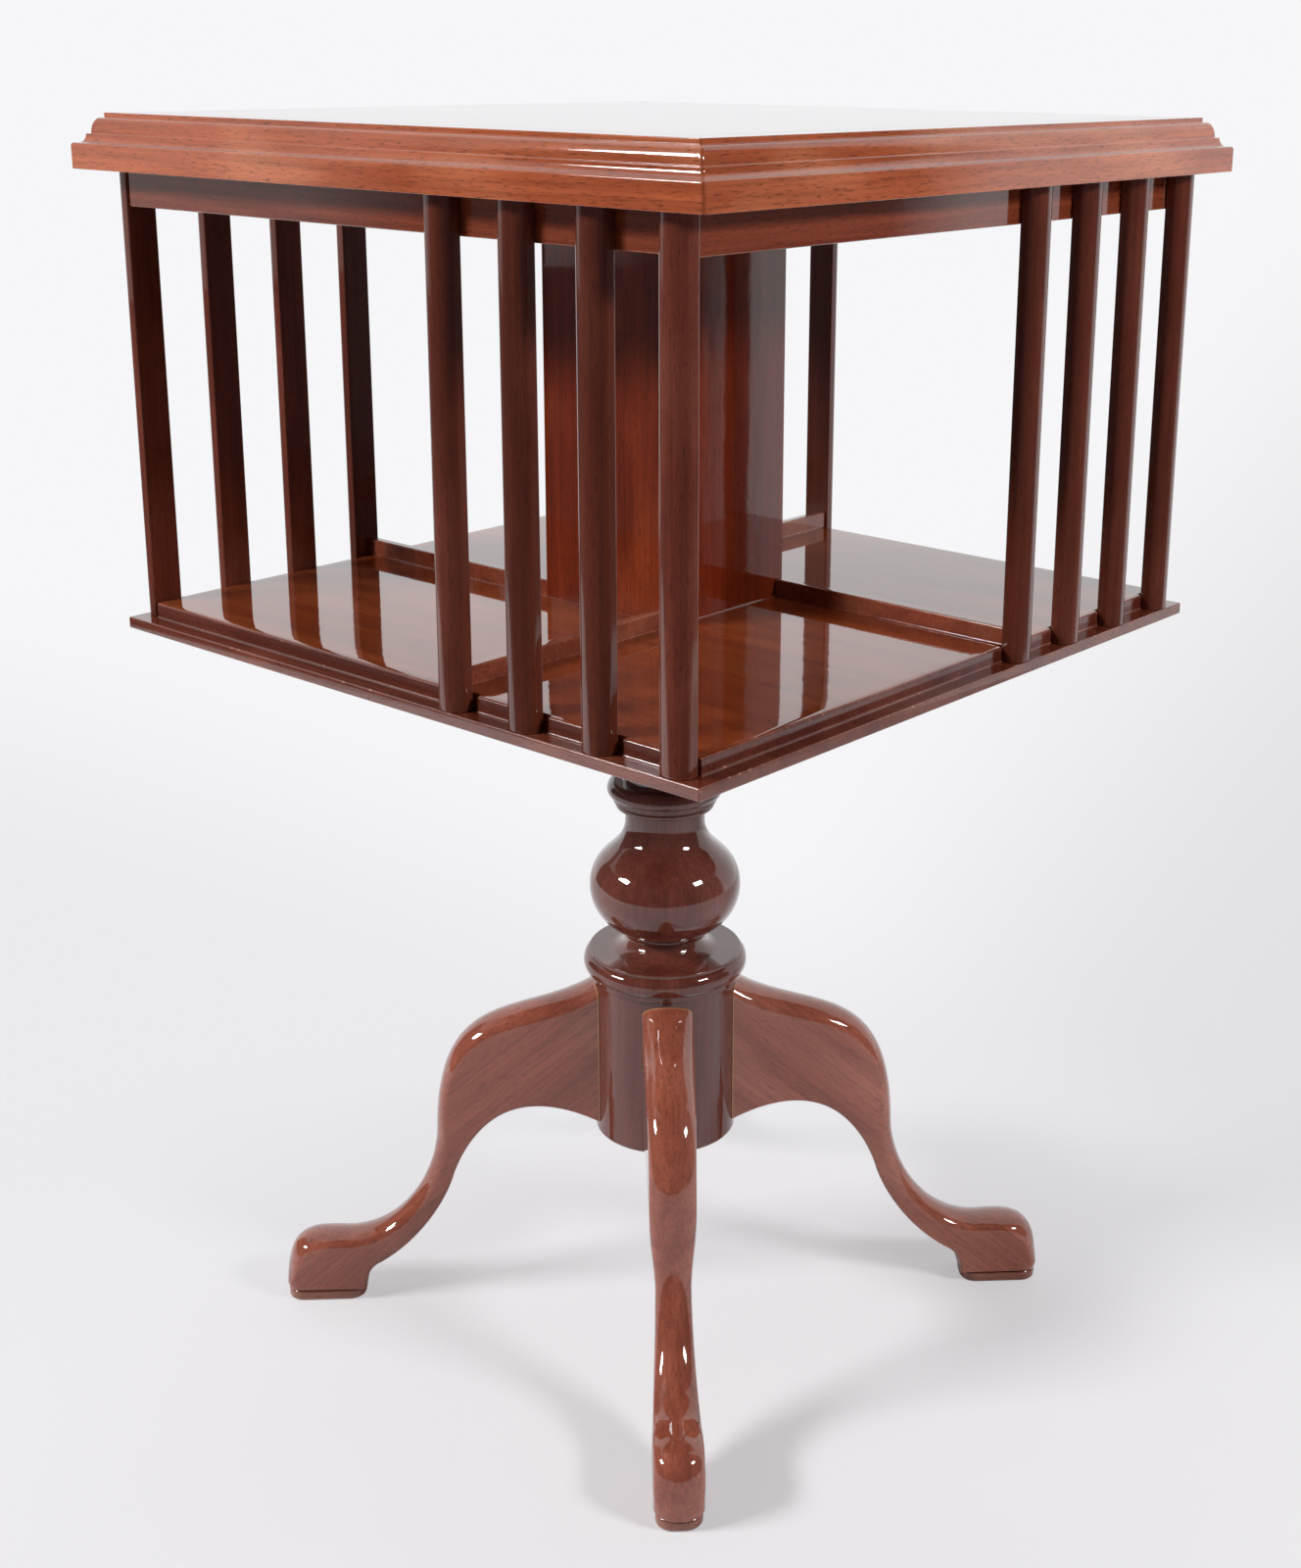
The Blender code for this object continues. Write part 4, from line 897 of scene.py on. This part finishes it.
for turn, face in enumerate(FACES):
    piece(f"top_moulding_{face}", moulding, [TOP_WOOD, TOP_EDGE], "case", QUARTER * turn)
piece("top_panel", plain_board("top_panel", PANEL_ARRIS), [TOP_WOOD, TOP_EDGE], "case")
print("top:", round(TOP_HALF * 2, 4), "square, at", round(TOP_HIGH.z, 4))

# %% [markdown]
# ## Steel, brass and plain wood inside
# The spindle, its nut and washer, and the bearing plate with its screws are turned or rolled steel. The
# bushes and the thrust washer are brass, and the blocks that hold the bushes are plain planed beech.
# Their CAD meshes are right, so they stay, and only their materials change. Turned metal shows fine rings
# round its axis. They are drawn 0.6 mm apart, coarser than a lathe leaves them, so that they show.

# %% Metals and plain wood
RING_SPACING = 0.0006
# A wave texture of scale 1 repeats after this length
WAVE_LENGTH = 0.314
RING_WAVER, RING_STRENGTH, RING_DEPTH, RING_ROUGHER = 0.4, 0.4, 0.00002, 0.12
# Patches of tarnish, about 11 mm wide
TARNISH_SIZE = 1 / 90


def turned_metal(name, bright, dull, roughness):
    """A turned metal: rings of slightly different gloss round the axis, and a little tarnish."""
    made = bpy.data.materials.new(name)
    add = nodes_for(made)
    place = add("TexCoord").outputs["Object"]
    rings = add("TexWave", {"wave_type": "RINGS", "rings_direction": "Z", "Distortion": RING_WAVER,
                            "Scale": WAVE_LENGTH / RING_SPACING}, {"Vector": place})
    tarnish = add("TexNoise", {"Scale": 1 / TARNISH_SIZE, "Detail": 3.0}, {"Vector": place})
    tone = add("Mix", {"data_type": "RGBA", MIX_A: colour(dull), MIX_B: colour(bright)},
               {"Factor": tarnish})
    rough = add("MapRange", {TO_LOW: roughness, TO_HIGH: roughness + RING_ROUGHER},
                {"Value": rings.outputs["Fac"]})
    cut = add("Bump", {"Strength": RING_STRENGTH, "Distance": RING_DEPTH}, {"Height": rings.outputs["Fac"]})
    shader = add("BsdfPrincipled", {"Metallic": 1.0},
                 {"Base Color": tone.outputs[MIX_OUT], "Roughness": rough, "Normal": cut})
    add("OutputMaterial", links={"Surface": shader})
    return made


STEEL = turned_metal("steel_turned", "#C9CACC", "#A3A5A8", 0.26)
BRASS = turned_metal("brass_turned", "#D9B968", "#B08E45", 0.24)
BEECH = polished_wood("beech_planed", "#A98058", "#BC936A", "#C6A27B", pore="#7A5636", grain=GRAIN_Z,
                      sheen_roughness=0.6, polish_roughness=0.5, pore_share=0.4)
PLATE_SCREWS = [f"plate_screw_{i + 1}" for i in range(4)]
INSIDE = ((STEEL, ["spindle", "spindle_nut", "nut_washer", "bearing_plate"] + PLATE_SCREWS),
          (BRASS, ["thrust_washer", "lower_bush", "upper_bush"]),
          (BEECH, ["lower_bush_block", "upper_bush_block"]))
for finish, nodes in INSIDE:
    for node in nodes:
        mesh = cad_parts[node].data
        mesh.materials.clear()
        mesh.materials.append(finish)
print("inside:", sum(len(nodes) for _, nodes in INSIDE), "nodes keep their CAD meshes")

# %% [markdown]
# ## The studio's paper
# A mirror polish shows the room, so the studio is part of the finish. The table stands on white paper in
# front of a white wall. The camera sees the paper fade out before its edge, so that no horizon shows, and
# glow a little, as it would under more lamps. Every other ray meets plain matt paper. A background
# picture would be simpler, but it would take no shadow.

# %% Paper floor
bpy.context.scene.view_settings.view_transform = "Standard"
FLOOR_RADIUS, FLOOR_STEPS, FADE_FROM, FADE_TO = 1.60, 96, 0.30, 0.95
CAMERA_SIDE = CAMERA_AZIMUTH - QUARTER
FADE_CENTRE = Matrix.Rotation(CAMERA_SIDE, 3, "Z") @ Vector((0.45, 0.12, 0.0))
PAPER_GLOW = 0.35
# Paper is a little uneven, in patches of about 170 mm
MOTTLE_SIZE = 1 / 6


def paper_finish():
    """Matt white paper that fades to nothing at its edge."""
    made = bpy.data.materials.new("paper_matt_white")
    add = nodes_for(made)
    place = add("TexCoord").outputs["Object"]
    seen = add("LightPath").outputs["Is Camera Ray"]
    away = add("VectorMath", {"operation": "DISTANCE", 1: FADE_CENTRE}, {0: place})
    fade = add("MapRange", {"interpolation_type": "SMOOTHSTEP", FROM_LOW: FADE_FROM, FROM_HIGH: FADE_TO},
               {"Value": away.outputs["Value"], TO_HIGH: seen})
    fibre = add("TexNoise", {"Scale": 1 / MOTTLE_SIZE, "Detail": 2.0}, {"Vector": place})
    tone = add("Mix", {"data_type": "RGBA", MIX_A: colour("#E4E3E6"), MIX_B: colour("#E9E8EB")},
               {"Factor": fibre})
    matt = add("BsdfDiffuse", links={"Color": tone.outputs[MIX_OUT]})
    glow = add("Emission", {"Color": colour("#F1F0F3"), "Strength": 1.0})
    share = add("Math", {"operation": "MULTIPLY", 1: PAPER_GLOW}, {0: seen})
    bright = add("MixShader", links={0: share, 1: matt, 2: glow})
    gone = add("BsdfTransparent")
    mixed = add("MixShader", links={0: fade, 1: bright, 2: gone})
    add("OutputMaterial", links={"Surface": mixed})
    return made


floor_bm = bmesh.new()
floor_rim = [floor_bm.verts.new((FLOOR_RADIUS * math.cos(turn), FLOOR_RADIUS * math.sin(turn), 0.0))
             for turn in stepped(4 * QUARTER, FLOOR_STEPS)[:-1]]
floor_bm.faces.new(floor_rim)
floor = mesh_object("paper_floor", floor_bm)
floor.data.materials.append(paper_finish())
floor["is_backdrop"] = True
print("paper:", 2 * FLOOR_RADIUS, "m across, fading from", FADE_FROM, "to", FADE_TO)

# %% [markdown]
# ## The dark side of the room
# The camera's side of the room is dark. That gives the deep brown on the bulb and the slats, with pale
# edges where the white wall comes round. It is part of a dome of grey cloth, which starts where the white
# paper ends. It shows in the polish and keeps the wall's light off the near faces, but the camera doesn't
# see it. At the left, a white card shows in the polish of the front rail and moulding, and shades nothing.
# Both have soft edges, because a hard one would show in the mirror.

# %% Dark side of the room
SHELL_LEFT_LOW, SHELL_LEFT_HIGH, SHELL_RIGHT = math.radians(-131), math.radians(-99), math.radians(99.5)
# The dome's left end leans towards the camera between these two lifts
LEAN_FROM, LEAN_TO = math.radians(36), math.radians(52)
# The left lamp stands inside the dome, so the dome is wider there, up to this turn
SHELL_LEFT_RADIUS, SHELL_RIGHT_RADIUS, SHELL_NEARS = 3.8, 1.8, math.radians(-55)
SHELL_SOFT, SHELL_TOP = math.radians(3), math.radians(78)
SHELL_ACROSS, SHELL_RISE, SHELL_FOOT = 48, 24, 0.001
# Where the white paper on the floor ends, as turns from the camera's side and distances
PAPER_TURNS = [math.radians(turn) for turn in (-131, -98, -74, -46, 0, 40, 75, 99.5)]
PAPER_ENDS = (2.10, 1.95, 1.50, 1.24, 1.25, 1.50, 1.80, 1.80)
# Cloth hangs in broad folds, about 1.7 m wide
FOLD_SIZE = 1 / 0.6


def unlit_finish(name, darker, lighter):
    """A sheet that shows its own shade whatever the lamps do, and fades where its cover attribute falls."""
    made = bpy.data.materials.new(name)
    add = nodes_for(made)
    place = add("TexCoord")
    folds = add("TexNoise", {"Scale": 1 / FOLD_SIZE, "Detail": 2.0}, {"Vector": place.outputs["Object"]})
    tone = add("Mix", {"data_type": "RGBA", MIX_A: colour(darker), MIX_B: colour(lighter)},
               {"Factor": folds})
    cover = add("Attribute", {"attribute_name": "cover"})
    glow = add("Emission", {"Strength": 1.0}, {"Color": tone.outputs[MIX_OUT]})
    gone = add("BsdfTransparent")
    mixed = add("MixShader", links={0: cover.outputs["Fac"], 1: gone, 2: glow})
    add("OutputMaterial", links={"Surface": mixed})
    return made


def sheet_of_studio(name, bm, finish, shades=False):
    """A sheet drawn with +X towards the camera, hidden from it. Reflections see it. It may shade too."""
    made = mesh_object(name, bm)
    made.data.materials.append(finish)
    made.rotation_euler.z = CAMERA_SIDE
    made.visible_camera = False
    made.visible_diffuse = shades
    made.visible_shadow = shades
    made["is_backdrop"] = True


def dark_side():
    """Part of a dome on the camera's side, from the paper's end to near the top, with soft ends."""
    bm = bmesh.new()
    cover = bm.verts.layers.float.new("cover")
    rows = []
    for j in range(-1, SHELL_RISE + 1):
        lift = SHELL_TOP * max(j, 0) / SHELL_RISE
        left = reading(lift, (0.0, LEAN_FROM, LEAN_TO),
                       (SHELL_LEFT_LOW, SHELL_LEFT_LOW, SHELL_LEFT_HIGH), True)
        width = SHELL_RIGHT - left - 2 * SHELL_SOFT
        inner = [left + SHELL_SOFT + turn for turn in stepped(width, SHELL_ACROSS)]
        row = []
        for turn in (left, *inner, SHELL_RIGHT):
            radius = reading(turn, (SHELL_LEFT_LOW, SHELL_NEARS, SHELL_RIGHT),
                             (SHELL_LEFT_RADIUS, SHELL_LEFT_RADIUS, SHELL_RIGHT_RADIUS), False)
            out = radius * math.cos(lift)
            if j < 0:
                out = reading(turn, PAPER_TURNS, PAPER_ENDS, False)
            corner = bm.verts.new((out * math.cos(turn), out * math.sin(turn),
                                   SHELL_FOOT + radius * math.sin(lift)))
            corner[cover] = 0.0 if turn in (left, SHELL_RIGHT) else 1.0
            row.append(corner)
        rows.append(row)
    weave(bm, rows)
    sheet_of_studio("dark_side", bm, unlit_finish("cloth_grey", "#4A4647", "#6A6667"), shades=True)
    return len(rows)


# The card's place to the left, its back edge, its soft width, and (height, place) of its front edge
CARD_OUT, CARD_BACK, CARD_SOFT = -0.60, -0.35, 0.10
CARD_FRONT = ((0.60, 0.13), (0.66, 0.20), (1.2, 0.50))


def card_at_left():
    """An upright white card whose soft front edge leans forward."""
    bm = bmesh.new()
    cover = bm.verts.layers.float.new("cover")
    rows = []
    for height, front in CARD_FRONT:
        row = [bm.verts.new((x, CARD_OUT, height)) for x in (CARD_BACK, front - CARD_SOFT, front)]
        row[0][cover], row[1][cover] = 1.0, 1.0
        rows.append(row)
    weave(bm, rows)
    sheet_of_studio("paper_left", bm, unlit_finish("card_white", "#BEBEC0", "#CCCCCE"))


cloth_rows = dark_side()
card_at_left()
print("dark side:", cloth_rows, "rows of cloth, and a card")

# %% [markdown]
# ## Lamps
# Two soft lamps give the paired glints on every round form: a wide one at the left, which does most of
# the lighting, and a small one at the right. Area lamps are used because their shape shows in the polish.

# %% Lamps
LAMP_AIM = Vector((0.0, 0.0, 0.45))
# Each lamp's turn from the camera's side in degrees, how far off and how high it stands, sides and power
LAMPS = (("left_lamp", -73.5, 2.60, 1.84, (0.92, 0.42), 84.0),
         ("right_lamp", 60.5, 1.55, 1.28, (0.42, 0.26), 18.0))
for name, azimuth, off, height, sides, power in LAMPS:
    turn = CAMERA_SIDE + math.radians(azimuth)
    data = bpy.data.lights.new(name, "AREA")
    data.shape = "RECTANGLE"
    data.size, data.size_y = sides
    data.energy = power
    lamp = bpy.data.objects.new(name, data)
    lamp.location = (off * math.cos(turn), off * math.sin(turn), height)
    lamp.rotation_euler = (lamp.location - LAMP_AIM).to_track_quat("Z", "Y").to_euler()
    bpy.context.scene.collection.objects.link(lamp)
print("lamps:", len(LAMPS))

# %% [markdown]
# ## The white wall
# The wall is the world itself, so it has no corner. It lights the table at about half strength, which
# leaves the shadows soft, while mirrors and the camera see it white. For the camera it falls off a little
# at the right, and low at the left, as a lit wall does away from its lamps.

# %% Wall
AMBIENT = 0.46
WALL_WHITE = "#F6F6F8"
# Each fall of the wall: the way it goes, where it starts and ends along that way, and its shade
WALL_FALLS = ((camera_right * 0.80 - Vector((0.0, 0.0, 0.60)), 0.22, 0.45, "#E2E1E4"),
              (camera_right * -0.35 - Vector((0.0, 0.0, 0.94)), 0.33, 0.46, "#EBEAED"))
world = bpy.data.worlds.new("white_studio")
bpy.context.scene.world = world
add = nodes_for(world)
path = add("LightPath")
mirrored = add("Math", {"operation": "MAXIMUM"},
               {0: path.outputs["Is Glossy Ray"], 1: path.outputs["Is Transmission Ray"]})
light = add("Background", {"Color": colour("#FFFFFF"), "Strength": AMBIENT})
white = add("Background", {"Color": colour("#F0F0F2"), "Strength": 1.0})
ahead = add("TexCoord")
wall = add("Mix", {"data_type": "RGBA", "Factor": 0.0, MIX_A: colour(WALL_WHITE)})
for way, start, end, shade in WALL_FALLS:
    falling = add("VectorMath", {"operation": "DOT_PRODUCT", 1: way}, {0: ahead.outputs["Generated"]})
    dim = add("MapRange", {"interpolation_type": "SMOOTHSTEP", FROM_LOW: start, FROM_HIGH: end},
              {"Value": falling.outputs["Value"]})
    wall = add("Mix", {"data_type": "RGBA", MIX_B: colour(shade)},
               {"Factor": dim, MIX_A: wall.outputs[MIX_OUT]})
backdrop = add("Background", {"Strength": 1.0}, {"Color": wall.outputs[MIX_OUT]})
unseen = add("MixShader", links={0: mirrored, 1: light, 2: white})
whole = add("MixShader", links={0: path.outputs["Is Camera Ray"], 1: unseen, 2: backdrop})
add("OutputWorld", links={"Surface": whole})
print("wall:", len(WALL_FALLS), "falls, light at", AMBIENT)

# %% [markdown]
# ## Sizes
# The dressed table's box is printed, as the construction model's box was at the start.

# %% Finish
DRESSED_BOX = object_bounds()
print("dressed box", rounded(DRESSED_BOX))
